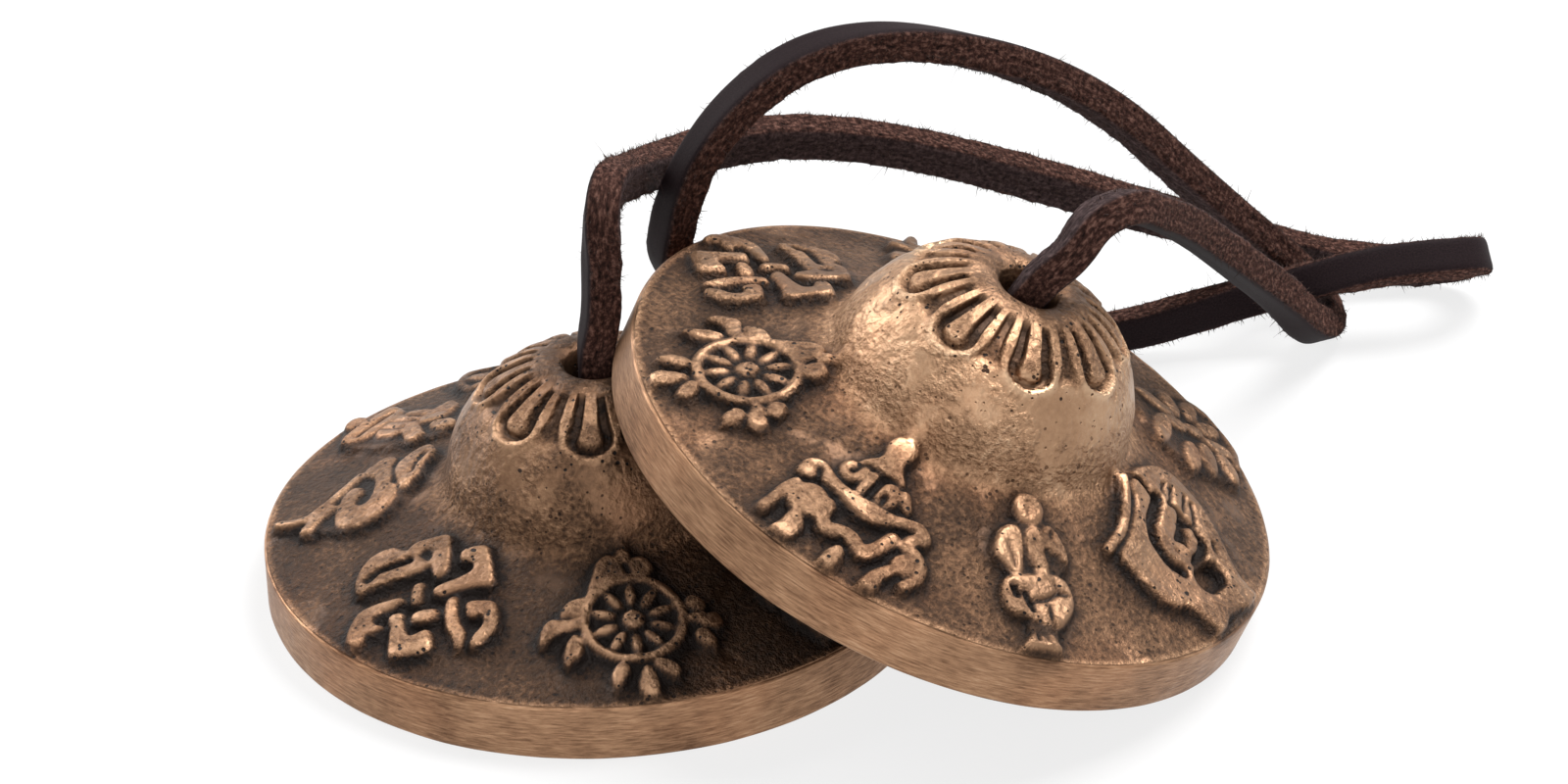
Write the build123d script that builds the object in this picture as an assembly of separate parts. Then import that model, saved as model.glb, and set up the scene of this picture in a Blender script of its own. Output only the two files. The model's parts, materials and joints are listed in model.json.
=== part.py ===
"""Tingsha: two cast bronze cymbals on one leather thong, in millimetres, +Z up.

The left cymbal lies flat on its rim. The right one stands on one edge and leans on the left one's dome.
The thong leaves each dome by the hole in its crown and is tied in a knot inside.
"""
from build123d import *
import math
import os

# Cymbal, about its own axis, standing on its rim
disc_d = 65.0
rim_h = 5.5
rim_ring_w = 3.5
rim_edge_r = 0.35
dome_h = 23.6
dome_d = 29.8
dome_round = 13.5
crown_d = 10.0
hole_d = 6.0
foot_z = 11.3
foot_round = 2.4
plate_sag = 0.55
crown_wall = 4.2
dome_wall = 3.8
plate_wall = 4.6
hollow_crown_d = 9.0
hollow_foot_in = 2.3
hollow_bulge = 2.0

# Relief cast on the plate, and petals cut into the dome
relief_h = 1.1
relief_margin = 0.7
petal_count = 8
petal_turn = -3.0
petal_start_r = 6.4
petal_groove = 0.7
petal_inner_w = 3.9
petal_inner_r = 10.9
tongue_w = 1.9
tongue_r = 9.9
notch_w = 1.2
notch_l = 3.6
notch_r = 8.9

# Leather thong and its knots
thong_w = 3.9
thong_t = 3.4
neck_gap = 0.1
pivot_drop = 0.2
knot_gap = 0.3
knot_ring_r = 3.3
tail_l = 8.0
tail_lean = 12.0

# How the pair is laid
left_turn = 227.6
right_turn = 153.2
lean_heading = -9.3
lean_gap = 0.6
lean_edge_x = 2.26

# Route of the thong, from the left hole to the right, measured from the left cymbal's axis and the floor.
# The first and last points are worked out from the holes.
left_exit = (0.06, 0.0, 1.0)
right_exit = (0.72, -0.15, 0.68)
route = [
    # up from the left hole, over a sharp bend and back
    (0.3, -0.1, 32.0), (0.6, 0.0, 38.5), (1.6, 4.6, 41.8), (3.9, 14.5, 37.6), (8.8, 25.6, 32.4),
    # falling slowly to the floor at the far right
    (17.2, 35.2, 28.6), (26.0, 40.0, 25.5), (35.0, 42.8, 22.3), (45.4, 46.5, 17.2), (57.0, 50.0, 11.2),
    (68.0, 52.6, 5.8), (78.0, 54.2, 2.9),
    # folded back towards the front
    (87.6, 54.3, 3.0), (90.3, 50.0, 5.3), (87.6, 45.5, 7.6),
    # along the floor behind the leaning cymbal
    (78.0, 43.6, 8.2), (69.0, 42.2, 7.0), (60.5, 42.0, 4.1), (52.5, 40.0, 2.9), (42.0, 39.2, 2.4),
    (30.5, 39.6, 2.4), (19.5, 36.3, 6.0), (11.5, 29.0, 13.2),
    # up between the cymbals and over in a high arch
    (7.6, 20.8, 22.0), (6.8, 16.8, 30.0), (9.4, 16.5, 36.2), (14.8, 18.5, 41.6), (21.6, 21.2, 44.6),
    (29.0, 24.5, 44.2), (37.0, 28.3, 41.0), (45.0, 32.4, 36.6), (52.0, 36.4, 30.6), (57.6, 39.8, 24.0),
    (62.4, 42.6, 17.6), (66.5, 45.4, 12.0),
    # folded round the stretch that lies there
    (70.8, 48.0, 6.8), (72.9, 44.4, 2.6), (71.6, 38.9, 3.0),
    # up again and into the right hole
    (68.2, 33.4, 9.4), (64.2, 26.0, 16.4), (60.4, 18.6, 23.2), (57.0, 11.4, 29.8), (53.8, 4.0, 36.0),
    (51.0, -2.8, 39.5), (47.8, -6.5, 39.9),
]

# Profile of a cymbal, worked out from the sizes above
disc_r = disc_d / 2
hole_r = hole_d / 2
dome_x = dome_d / 2 - dome_round
dome_z = dome_h - math.sqrt(dome_round ** 2 - (crown_d / 2 - dome_x) ** 2)
hollow_z = dome_h - crown_wall
pivot_z = dome_h - pivot_drop


def dome_r(z, inset=0.0):
    """Radius of the dome's round, or of a round that lies inside it, at height z."""
    return dome_x + math.sqrt((dome_round - inset) ** 2 - (z - dome_z) ** 2)


foot = (dome_r(foot_z), foot_z)
plate_mid = ((foot[0] + disc_r) / 2, (foot_z + rim_h) / 2 - plate_sag)
hollow_foot = (foot[0] - hollow_foot_in, foot_z - plate_wall)
hollow_side_z = (hollow_z + hollow_foot[1]) / 2 + hollow_bulge


def dome_arc(inset):
    """The dome's round as an arc from the crown to the foot, moved inwards by inset."""
    scale = (dome_round - inset) / dome_round
    side_z = 0.6 * dome_h + 0.4 * foot_z
    outside = ((crown_d / 2, dome_h), (dome_r(side_z), side_z), foot)
    return [(dome_x + (r - dome_x) * scale, dome_z + (z - dome_z) * scale) for r, z in outside]


def plate_arc(lift):
    """The plate's top as an arc from the foot of the dome to the rim, lifted."""
    return [(r, z + lift) for r, z in (foot, plate_mid, (disc_r, rim_h))]


def face_of(edges):
    """A face in the XZ plane from edges drawn as (radius, height)."""
    return Plane.XZ * make_face(edges)


def turned(edges):
    """The solid that a closed outline of (radius, height) makes round the axis."""
    return revolve(face_of(edges), Axis.Z)


def plain_cymbal():
    """The casting without ornament: crown, dome, plate, rim and hollow underside."""
    crown = dome_arc(0.0)
    plate = plate_arc(0.0)
    inner = [hollow_foot, (dome_r(hollow_side_z, dome_wall), hollow_side_z), (hollow_crown_d / 2, hollow_z)]
    ring_r = disc_r - rim_ring_w
    outline = make_face([
        Line((hole_r, dome_h), crown[0]),
        ThreePointArc(*crown),
        ThreePointArc(*plate),
        Line(plate[2], (disc_r, 0)),
        Line((disc_r, 0), (ring_r, 0)),
        Line((ring_r, 0), inner[0]),
        ThreePointArc(*inner),
        Line(inner[2], (hole_r, hollow_z)),
        Line((hole_r, hollow_z), (hole_r, dome_h)),
    ])
    at_foot = outline.vertices().sort_by_distance((foot[0], foot[1], 0))[0]
    outline = fillet(at_foot, foot_round)
    for corner in ((disc_r, rim_h, 0), (disc_r, 0, 0)):
        outline = fillet(outline.vertices().sort_by_distance(corner)[0], rim_edge_r)
    return revolve(Plane.XZ * outline, Axis.Z)


# Ornament, drawn flat. A motif's points are (u, v): u to the right as seen from outside the rim, v outwards
# from the cymbal's axis.
def at(u, v):
    """Place a flat shape at (u, v)."""
    return Pos(v, u)


def dot(u, v, across, along, turn=0.0):
    """An oval bead, across wide along u and along long outwards."""
    return at(u, v) * Rot(0, 0, -turn) * Ellipse(along / 2, across / 2)


def band(points, width):
    """A round-ended band that follows points."""
    pieces = [at(u, v) * Circle(width / 2) for u, v in points]
    for (u0, v0), (u1, v1) in zip(points, points[1:]):
        turn = math.degrees(math.atan2(u1 - u0, v1 - v0))
        pieces.append(at((u0 + u1) / 2, (v0 + v1) / 2) * Rot(0, 0, turn)
                      * Rectangle(math.hypot(u1 - u0, v1 - v0), width))
    return Sketch() + pieces


def patch(*points):
    """A flat-sided patch with the given corners."""
    return make_face(Polyline(*[(v, u) for u, v in points], close=True))


def endless_knot():
    return [
        band([(-0.3, 20.6), (-3.2, 17.4), (-4.8, 18.6), (-5.0, 19.6)], 1.6),
        band([(0.4, 17.5), (1.5, 16.9), (4.0, 19.1), (2.7, 20.3), (0.9, 22.0)], 1.6),
        band([(-5.9, 20.6), (-7.0, 21.0), (-7.2, 22.6), (-6.3, 24.4), (-5.0, 23.4), (-2.7, 20.6)], 1.3),
        band([(-1.4, 22.2), (0.0, 24.0)], 1.0),
        band([(2.9, 22.1), (6.6, 25.8)], 1.1),
        band([(4.8, 21.6), (6.1, 20.9), (7.4, 22.6), (7.5, 24.0)], 1.3),
        band([(-1.4, 25.0), (-3.2, 27.2), (-3.0, 29.4), (-1.7, 30.7), (-0.9, 29.4)], 1.4),
        band([(-0.4, 26.4), (2.2, 29.2), (4.5, 28.0), (3.5, 26.9)], 1.5),
        band([(1.5, 25.7), (2.4, 24.6)], 1.4),
    ]


wheel_v = 22.2
wheel_ring_r = 4.2
spoke_count = 10
flame_groups = 4


def around(radius, angle):
    """A point round the wheel's hub."""
    return radius * math.sin(angle), wheel_v - radius * math.cos(angle)


def wheel():
    shapes = [
        at(0, wheel_v) * (Circle(wheel_ring_r + 0.4) - Circle(wheel_ring_r - 0.4)),
        dot(0, wheel_v, 1.8, 1.8),
    ]
    for i in range(spoke_count):
        angle = 2 * math.pi * i / spoke_count
        shapes.append(dot(*around(2.5, angle), 0.9, 1.8, math.degrees(angle)))
    for i in range(flame_groups):
        for side, radius, length in ((-1, 6.0, 2.4), (0, 6.7, 3.2), (1, 6.0, 2.4)):
            angle = 2 * math.pi * i / flame_groups + side * 0.32
            shapes.append(dot(*around(radius, angle), 1.5, length, math.degrees(angle) + side * 20))
    return shapes


def parasol():
    return [
        dot(-0.7, 16.2, 2.1, 2.1),
        patch((-1.3, 16.9), (-2.9, 19.0), (1.4, 19.0), (0.0, 16.9)),
        band([(-2.2, 19.8), (-3.4, 20.1), (-3.4, 20.8), (-2.5, 21.2)], 0.7),
        band([(-0.9, 19.9), (-1.2, 21.8)], 0.8),
        band([(0.5, 19.9), (0.2, 21.9)], 0.7),
        band([(1.4, 19.9), (1.9, 21.7)], 0.7),
        band([(2.3, 19.7), (3.1, 21.1)], 0.9),
        band([(-6.1, 22.8), (-5.5, 22.1), (-4.2, 22.2), (-2.0, 23.3), (0.8, 23.6), (3.0, 22.9), (4.9, 22.3),
              (5.8, 23.0), (5.4, 23.8)], 1.4),
        dot(-4.4, 26.2, 3.4, 3.6),
        band([(-6.6, 25.2), (-6.8, 26.8), (-6.3, 28.2)], 0.6),
        band([(-2.3, 26.0), (-2.1, 27.1), (-1.4, 27.5), (-0.2, 26.9), (0.9, 26.8), (2.4, 27.4), (3.2, 26.5),
              (3.7, 25.1)], 1.0),
        band([(4.9, 25.6), (6.0, 25.2), (7.1, 25.7), (7.2, 27.0), (6.1, 27.6)], 0.9),
        band([(5.6, 28.2), (4.9, 29.6), (5.0, 31.0)], 1.4),
        band([(-4.2, 28.6), (-3.9, 29.9), (-4.9, 31.0)], 1.4),
        dot(0.7, 29.8, 1.4, 3.2),
    ]


def vase():
    return [
        dot(0.3, 16.9, 2.4, 2.3),
        patch((-1.8, 18.6), (2.2, 18.2), (3.3, 20.0), (3.3, 21.2), (1.5, 21.0), (1.0, 23.2), (-1.6, 23.2),
              (-3.6, 22.8), (-3.2, 20.0)),
        dot(-0.3, 26.4, 7.0, 5.2),
        patch((-1.5, 29.6), (0.8, 29.6), (1.5, 31.3), (-2.3, 31.3)),
    ]


def conch():
    shell = patch((-7.4, 19.2), (-5.0, 18.8), (-1.5, 17.4), (0.8, 16.6), (3.5, 16.6), (7.2, 17.4),
                  (7.6, 20.0), (7.0, 23.5), (5.4, 26.5), (4.1, 28.5), (3.4, 31.2), (-4.6, 31.2), (-5.2, 28.5),
                  (-6.2, 26.8), (-7.4, 25.5), (-7.0, 22.0))
    mouth = patch((-3.6, 23.6), (-3.0, 21.4), (0.5, 19.6), (3.0, 18.6), (3.4, 22.0), (1.0, 24.6),
                  (-1.6, 25.2))
    hole = dot(-0.1, 27.2, 4.8, 3.4)
    tongue = band([(2.6, 20.6), (0.5, 21.9), (-1.4, 22.5), (-1.6, 23.8), (-0.4, 23.9)], 1.0)
    return [shell - mouth - hole, tongue, dot(1.9, 22.9, 1.0, 1.7, 40)]


def lotus():
    shapes = [dot(0.0, 24.4, 2.2, 5.0)]
    for side in (-1, 1):
        shapes += [
            dot(side * 2.1, 24.6, 2.0, 5.0, side * 28),
            dot(side * 4.2, 25.6, 2.0, 4.8, side * 58),
            dot(side * 1.5, 28.9, 2.2, 3.4, side * -30),
            dot(side * 4.4, 28.7, 1.9, 3.2, side * -65),
        ]
    return shapes


def banner():
    return [
        dot(0.8, 18.7, 2.0, 2.2),
        patch((-4.6, 22.6), (-3.6, 21.0), (4.4, 21.0), (5.0, 22.6)),
        patch((-2.4, 23.2), (3.0, 23.2), (3.6, 25.9), (-2.8, 25.9)),
        patch((-3.0, 26.5), (4.0, 26.5), (5.2, 29.2), (-4.0, 29.2)),
        patch((-0.6, 29.6), (2.0, 29.6), (1.4, 31.1), (0.2, 31.1)),
    ]


def fish():
    return [
        band([(-4.6, 17.6), (-2.6, 18.5), (0.3, 17.9), (1.4, 17.0)], 1.9),
        band([(-4.2, 21.0), (-1.0, 20.9), (2.6, 20.7), (4.8, 21.9), (4.7, 23.3), (2.5, 23.7),
              (0.9, 23.2)], 1.7),
        band([(-2.4, 22.9), (0.8, 25.2), (3.0, 27.0), (3.6, 28.8), (3.4, 30.6)], 1.0),
        band([(3.0, 25.4), (4.6, 27.0), (5.8, 27.5)], 1.2),
    ]


# The eight symbols and their places round the plate, in degrees from the endless knot
symbols = (
    (endless_knot, 0.0), (wheel, 50.0), (parasol, 100.2), (vase, 141.6),
    (conch, 189.1), (lotus, 240.4), (banner, 274.6), (fish, 307.2),
)


def relief():
    """Every symbol as low solids whose tops follow the plate."""
    top = plate_arc(relief_h)
    outer_r = disc_r - relief_margin
    layer = turned([
        ThreePointArc(*top),
        Line(top[2], (disc_r, rim_h - relief_h)),
        Line((disc_r, rim_h - relief_h), (foot[0], foot_z - plate_wall / 2)),
        Line((foot[0], foot_z - plate_wall / 2), top[0]),
    ]) & Cylinder(outer_r, 4 * dome_h)
    solids = []
    for draw, turn in symbols:
        flat = Rot(0, 0, turn) * (Sketch() + draw())
        solids += (extrude(flat, dome_h) & layer).solids()
    return solids


def arch(width, start, end):
    """A flat tongue with a round end, pointing outwards."""
    straight = end - width / 2 - start
    side = Pos(start + straight / 2, 0) * Rectangle(straight, width)
    return side + Pos(end - width / 2, 0) * Circle(width / 2)


def petals():
    """Grooves that leave a ring of lotus petals standing round the dome."""
    deep = dome_arc(petal_groove)
    proud = dome_arc(-petal_groove)
    skin = turned([
        ThreePointArc(*deep),
        Line(deep[2], proud[2]),
        ThreePointArc(*reversed(proud)),
        Line(proud[0], deep[0]),
    ])
    groove = arch(petal_inner_w, petal_start_r, petal_inner_r) - arch(tongue_w, petal_start_r - 1, tongue_r)
    notch = Pos(notch_r, 0) * Ellipse(notch_l / 2, notch_w / 2)
    step = 360 / petal_count
    flat = []
    for i in range(petal_count):
        flat.append(Rot(0, 0, petal_turn + i * step) * groove)
        flat.append(Rot(0, 0, petal_turn + (i + 0.5) * step) * notch)
    return [extrude(face, 2 * dome_h) & skin for face in flat]


def cymbal():
    """One casting with its ornament, in its own frame."""
    body = plain_cymbal() + relief()
    return body - petals()


def knot():
    """A tied end inside a dome: neck through the hole, one turn of thong, and a short tail."""
    ring_z = hollow_z - knot_gap - thong_t / 2
    neck_l = pivot_z - ring_z
    neck = Pos(0, 0, ring_z + neck_l / 2) * Box(thong_t, thong_w, neck_l)
    ball = Pos(0, 0, pivot_z) * Sphere(thong_t / 2)
    turn = Pos(0, 0, ring_z) * Torus(knot_ring_r, thong_t / 2)
    core = Pos(0, 0, ring_z) * Cylinder(knot_ring_r, thong_t * 0.8)
    tail = Pos(0, 0, ring_z) * Rot(0, tail_lean, 0) * Pos(0, 0, -tail_l / 2) * Box(thong_t, thong_w, tail_l)
    return neck + ball + turn + core + tail


def lean_angle():
    """Lean at which the right cymbal's rim lies lean_gap over the left dome and its edge meets the floor."""
    low, high = math.radians(5), math.radians(60)
    for _ in range(60):
        lean = (low + high) / 2
        floor_x = dome_x + (dome_round + lean_gap + dome_z * math.cos(lean)) / math.sin(lean)
        if floor_x - disc_d * math.cos(lean) > lean_edge_x:
            low = lean
        else:
            high = lean
    return lean


def unit(vector):
    return Vector(*vector).normalized()


def thong(points):
    """The thong's free length: straight runs joined by the largest arcs that fit."""
    radii = []
    for a, b, c in zip(points, points[1:], points[2:]):
        half_turn = math.radians((b - a).get_angle(c - b)) / 2
        radii.append(0.45 * min((b - a).length, (c - b).length) / math.tan(half_turn))
    path = FilletPolyline(*points, radius=radii)
    print("thong: length %.1f mm, radii %s" % (path.length, " ".join("%.1f" % r for r in radii)))
    section = Plane(path @ 0, x_dir=(1, 0, 0), z_dir=path % 0) * Rectangle(thong_t, thong_w)
    solid = sweep(section, path=path)
    print("thong: volume %.1f, section times length %.1f" % (solid.volume, thong_t * thong_w * path.length))
    return solid


lean = lean_angle()
reach = lean_edge_x + disc_r * math.cos(lean)
heading = math.radians(lean_heading)
right_place = (Pos(reach * math.cos(heading), reach * math.sin(heading), disc_r * math.sin(lean))
               * Rot(0, 0, lean_heading) * Rot(0, math.degrees(lean), 0))
left_pivot = Vector(0, 0, pivot_z)
right_pivot = (right_place * Pos(0, 0, pivot_z)).position
start = left_pivot + unit(left_exit) * (thong_t / 2 + neck_gap)
end = right_pivot + unit(right_exit) * (thong_t / 2 + neck_gap)
run_out = end + unit(right_exit) * thong_t
points = [start] + [Vector(*p) for p in route] + [run_out, end]

casting = cymbal()
tied = knot()
parts = {
    "left_cymbal": Rot(0, 0, left_turn) * casting,
    "right_cymbal": right_place * Rot(0, 0, right_turn) * casting,
    "left_knot": tied,
    "right_knot": right_place * tied,
    "strap": thong(points),
}

# The origin is on the floor under the middle of the two cymbals
box = parts["left_cymbal"].bounding_box().add(parts["right_cymbal"].bounding_box())
to_origin = Pos(-(box.min.X + box.max.X) / 2, -(box.min.Y + box.max.Y) / 2, -box.min.Z)

os.makedirs("parts", exist_ok=True)
for name, shape in parts.items():
    placed = to_origin * shape
    export_step(placed, "parts/%s.step" % name)
    print(name, "solids", len(placed.solids()), "valid", placed.is_valid, "volume %.0f" % placed.volume)

for name, place in (("left", Pos(0, 0, 0)), ("right", right_place)):
    hole = to_origin * place * Pos(0, 0, pivot_z)
    axis = (place * Pos(0, 0, 1)).position - place.position
    print(name, "pivot", [round(v, 3) for v in hole.position], "axis", [round(v, 5) for v in axis])
print("lean %.3f degrees, origin moved by" % math.degrees(lean), [round(v, 3) for v in to_origin.position])
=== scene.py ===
# %% [markdown]
# # Tingsha: two cast bronze cymbals on one leather thong
#
# The left cymbal lies flat on its rim and the right one leans on its dome. One thong leaves the left dome,
# loops behind and over the pair, and goes down into the right dome. The solid model gives the joints,
# and the sizes that are repeated here. This lesson adds what the eye sees: relief, patina, leather and light.

# %% Load the solid model as a fixed frame
import json
import math

import bpy
import numpy as np
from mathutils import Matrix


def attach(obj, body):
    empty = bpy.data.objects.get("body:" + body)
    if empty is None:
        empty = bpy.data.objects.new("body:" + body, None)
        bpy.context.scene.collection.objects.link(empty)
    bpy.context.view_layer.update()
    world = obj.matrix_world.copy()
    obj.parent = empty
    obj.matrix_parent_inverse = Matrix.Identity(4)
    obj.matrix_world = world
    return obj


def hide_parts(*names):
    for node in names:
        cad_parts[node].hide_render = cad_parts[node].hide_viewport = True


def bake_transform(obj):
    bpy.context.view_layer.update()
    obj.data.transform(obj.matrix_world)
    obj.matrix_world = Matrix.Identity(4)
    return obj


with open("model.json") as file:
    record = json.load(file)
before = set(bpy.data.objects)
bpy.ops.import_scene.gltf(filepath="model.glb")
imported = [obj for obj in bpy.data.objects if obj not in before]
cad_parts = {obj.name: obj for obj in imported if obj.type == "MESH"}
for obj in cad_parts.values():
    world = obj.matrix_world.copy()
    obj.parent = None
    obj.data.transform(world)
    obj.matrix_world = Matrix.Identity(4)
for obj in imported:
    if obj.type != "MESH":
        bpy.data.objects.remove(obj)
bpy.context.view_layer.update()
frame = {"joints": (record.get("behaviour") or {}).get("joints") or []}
joints = {joint["name"]: joint for joint in frame["joints"]}
MM = 0.001

# %% [markdown]
# ## Camera
#
# The pair was seen from a little above through a long lens, which keeps the two discs near to true ellipses.
# The camera's place and angles were fitted to the rims of the two discs. A camera can be aimed with a
# constraint, but plain angles stay put in other views.

# %% Camera
camera_place = np.array([6.89, -400.89, 250.17]) * MM
camera_tilt = math.radians(60.27)
camera_roll = math.radians(1.17)
lens_data = bpy.data.cameras.new("camera")
lens_data.lens = 112.5
lens_data.sensor_width = 36.0
lens_data.clip_start = 0.01
camera = bpy.data.objects.new("camera", lens_data)
camera.location = camera_place
camera.rotation_euler = (camera_tilt, camera_roll, 0)
bpy.context.scene.collection.objects.link(camera)
bpy.context.scene.camera = camera
print("camera %.0f mm from the origin" % (np.linalg.norm(camera_place) / MM))

# %% [markdown]
# ## Helpers for surfaces
#
# Every piece is a grid of points worked out with numpy. A grid that closes on itself in one direction is a
# tube, and one that closes in both is a ring, such as a cymbal with its bore. The signed volume of a closed
# surface says whether its faces point outwards, so no face has to be turned by hand.


# %% Grid surfaces
def grid_quads(rows, columns, ring=False):
    """Corner numbers of the quads of a rows by columns grid that closes along its columns, and also along
    its rows if it is a ring."""
    row, column = np.meshgrid(np.arange(rows if ring else rows - 1), np.arange(columns), indexing="ij")
    next_row = (row + 1) % rows
    next_column = (column + 1) % columns
    corners = [row * columns + column, row * columns + next_column,
               next_row * columns + next_column, next_row * columns + column]
    return np.stack(corners, axis=-1).reshape(-1, 4)


def signed_volume(points, quads):
    """Volume inside closed quads, less than zero where they face inwards: a sixth of the sum, over all
    triangles, of the box product of their corners."""
    a, b, c, d = (points[quads[:, k]] for k in range(4))
    boxes = (a * np.cross(b, c)).sum() + (a * np.cross(c, d)).sum()
    return boxes / 6


def make_piece(name, points, quads, caps=(), values=None):
    """A smooth mesh object at the origin. caps are flat end faces, and values are numbers or vectors that
    belong to the points, for the finish to read."""
    if signed_volume(points, quads) < 0:
        quads = quads[:, ::-1]
        caps = [cap[::-1] for cap in caps]
    mesh = bpy.data.meshes.new(name)
    mesh.from_pydata(points, [], quads.tolist() + [list(cap) for cap in caps])
    smooth = np.ones(len(mesh.polygons), bool)
    smooth[len(quads):] = False
    mesh.polygons.foreach_set("use_smooth", smooth)
    if caps:
        round_caps = {key for face in mesh.polygons[len(quads):] for key in face.edge_keys}
        mesh.edges.foreach_set("use_edge_sharp", [edge.key in round_caps for edge in mesh.edges])
    for key, value in (values or {}).items():
        kind, field = ("FLOAT", "value") if value.ndim == 1 else ("FLOAT_VECTOR", "vector")
        layer = mesh.attributes.new(key, kind, "POINT")
        layer.data.foreach_set(field, np.ascontiguousarray(value, np.float32).ravel())
    mesh.update()
    piece = bpy.data.objects.new(name, mesh)
    bpy.context.scene.collection.objects.link(piece)
    print("%s: %d points, %d faces" % (name, len(points), len(mesh.polygons)))
    return piece


# %% [markdown]
# ## The thong's line
#
# The thong is one narrow strip of thick leather, nearly square in section. It stands up from the left hole,
# bends sharply, falls away behind, folds at the far right, runs along the floor behind the leaning cymbal,
# rises in a high arch, folds again and drops into the right hole. Its line is a NURBS curve, smooth where
# the solid model has runs and arcs. Its control points follow that model's route, moved by up to 3 mm to lie
# where the photograph shows the thong, with a few more inside each hole.


# %% The thong's route
def unit(vectors):
    """Vectors of length one: each is divided by its length."""
    vectors = np.asarray(vectors, float)
    return vectors / np.linalg.norm(vectors, axis=-1, keepdims=True)


thong_w = 3.9 * MM
thong_t = 3.4 * MM
left_hole = np.array(joints["left_spin"]["pos_m"])
right_hole = np.array(joints["right_spin"]["pos_m"])
left_axis = unit(joints["left_spin"]["axis"])
right_axis = unit(joints["right_spin"]["axis"])
left_exit = unit([0.06, 0.0, 1.0])
right_exit = unit([0.72, -0.15, 0.68])
run_out = thong_t / 2 + 0.1 * MM
neck_in = 6.0 * MM
neck_mid = 2.0 * MM

# Millimetres from the left cymbal's axis and the floor
route = [
    # up from the left hole, over a sharp bend and back
    (0.8, 0.0, 28.4), (1.0, 0.1, 33.8), (1.3, 0.9, 41.5), (3.3, 15.4, 35.2), (6.4, 24.2, 32.0),
    (10.0, 29.6, 30.8),
    # falling slowly to the floor at the far right
    (17.0, 34.8, 29.4), (25.6, 39.2, 26.6), (35.0, 42.8, 22.6), (45.0, 46.2, 17.7), (56.0, 49.2, 12.4),
    (67.0, 52.2, 7.2), (78.0, 54.2, 2.9),
    # folded back towards the front
    (88.0, 54.6, 2.8), (90.6, 50.2, 5.8), (88.2, 45.4, 8.4),
    # along the floor behind the leaning cymbal
    (79.0, 44.2, 8.3), (70.6, 42.8, 7.1), (61.4, 41.8, 5.0), (52.5, 40.0, 3.2), (42.0, 39.2, 2.7),
    (30.5, 39.6, 2.7), (19.5, 36.4, 5.4), (11.6, 29.0, 12.6),
    # up between the cymbals and over in a high arch
    (6.4, 19.8, 22.6), (7.1, 15.8, 29.8), (9.3, 15.0, 36.2), (13.6, 17.4, 41.5), (20.0, 20.8, 45.0),
    (28.0, 24.6, 44.8), (36.4, 29.0, 41.4), (44.6, 32.8, 36.6), (51.6, 36.2, 30.4), (57.8, 39.8, 22.4),
    (63.4, 43.6, 15.2), (67.6, 46.8, 9.8),
    # folded round the stretch that lies there
    (72.2, 49.2, 4.2), (74.4, 44.6, 1.8), (72.0, 38.6, 4.0),
    # up again and into the right hole
    (67.8, 31.2, 12.4), (63.2, 24.0, 19.6), (59.2, 16.6, 26.4), (55.8, 9.2, 32.4), (52.6, 2.0, 37.4),
    (49.4, -3.8, 41.0), (46.4, -6.0, 40.5),
]
floor_under_left = np.array([left_hole[0], left_hole[1], 0.0])
controls = np.vstack([
    left_hole - left_axis * neck_in,
    left_hole - left_axis * neck_mid,
    left_hole + left_exit * run_out,
    np.array(route) * MM + floor_under_left,
    right_hole + right_exit * (run_out + thong_t),
    right_hole + right_exit * run_out,
    right_hole - right_axis * neck_mid,
    right_hole - right_axis * neck_in,
])
print("route of %d points, %d control points in all" % (len(route), len(controls)))


# %% The thong's line
def nurbs_line(points, resolution):
    """Points read from a NURBS line of order 3 that has the given points as its control points."""
    curve = bpy.data.curves.new("line", "CURVE")
    curve.dimensions = "3D"
    curve.resolution_u = resolution
    spline = curve.splines.new("NURBS")
    spline.points.add(len(points) - 1)
    spline.points.foreach_set("co", np.column_stack([points, np.ones(len(points))]).ravel())
    spline.order_u = 3
    spline.use_endpoint_u = True
    holder = bpy.data.objects.new("line", curve)
    mesh = bpy.data.meshes.new_from_object(holder)
    line = np.zeros(3 * len(mesh.vertices))
    mesh.vertices.foreach_get("co", line)
    bpy.data.meshes.remove(mesh)
    bpy.data.objects.remove(holder)
    bpy.data.curves.remove(curve)
    return line.reshape(-1, 3)


def lengths_along(line):
    """Distance along a line at each of its points: the sum of the steps before it."""
    return np.concatenate([[0], np.cumsum(np.linalg.norm(np.diff(line, axis=0), axis=1))])


def read_line(at, known, points):
    """Points known at some places along a line, read at other places on the straight runs between."""
    return np.stack([np.interp(at, known, column) for column in np.transpose(points)], axis=1)


line_resolution = 24
ring_step = 0.5 * MM
rough_line = nurbs_line(controls, line_resolution)
rough_along = lengths_along(rough_line)
thong_length = rough_along[-1]
ring_count = int(thong_length / ring_step)
along = np.linspace(0, thong_length, ring_count)
thong_line = read_line(along, rough_along, rough_line)
print("thong %.1f mm from knot to knot" % (thong_length / MM))

# %% [markdown]
# ## The thong's surface
#
# Leather has a smooth, nearly black grain side and a rough brown flesh side, and the two cut edges are rough
# as well. The strip turns as it goes, so some of the route's points say which way the grain side faces there.
# Between them the direction changes steadily. It is squared up to the line, and a nearly square section is
# carried along it.

# %% Which way the grain side faces
first_on_route = 3
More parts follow.
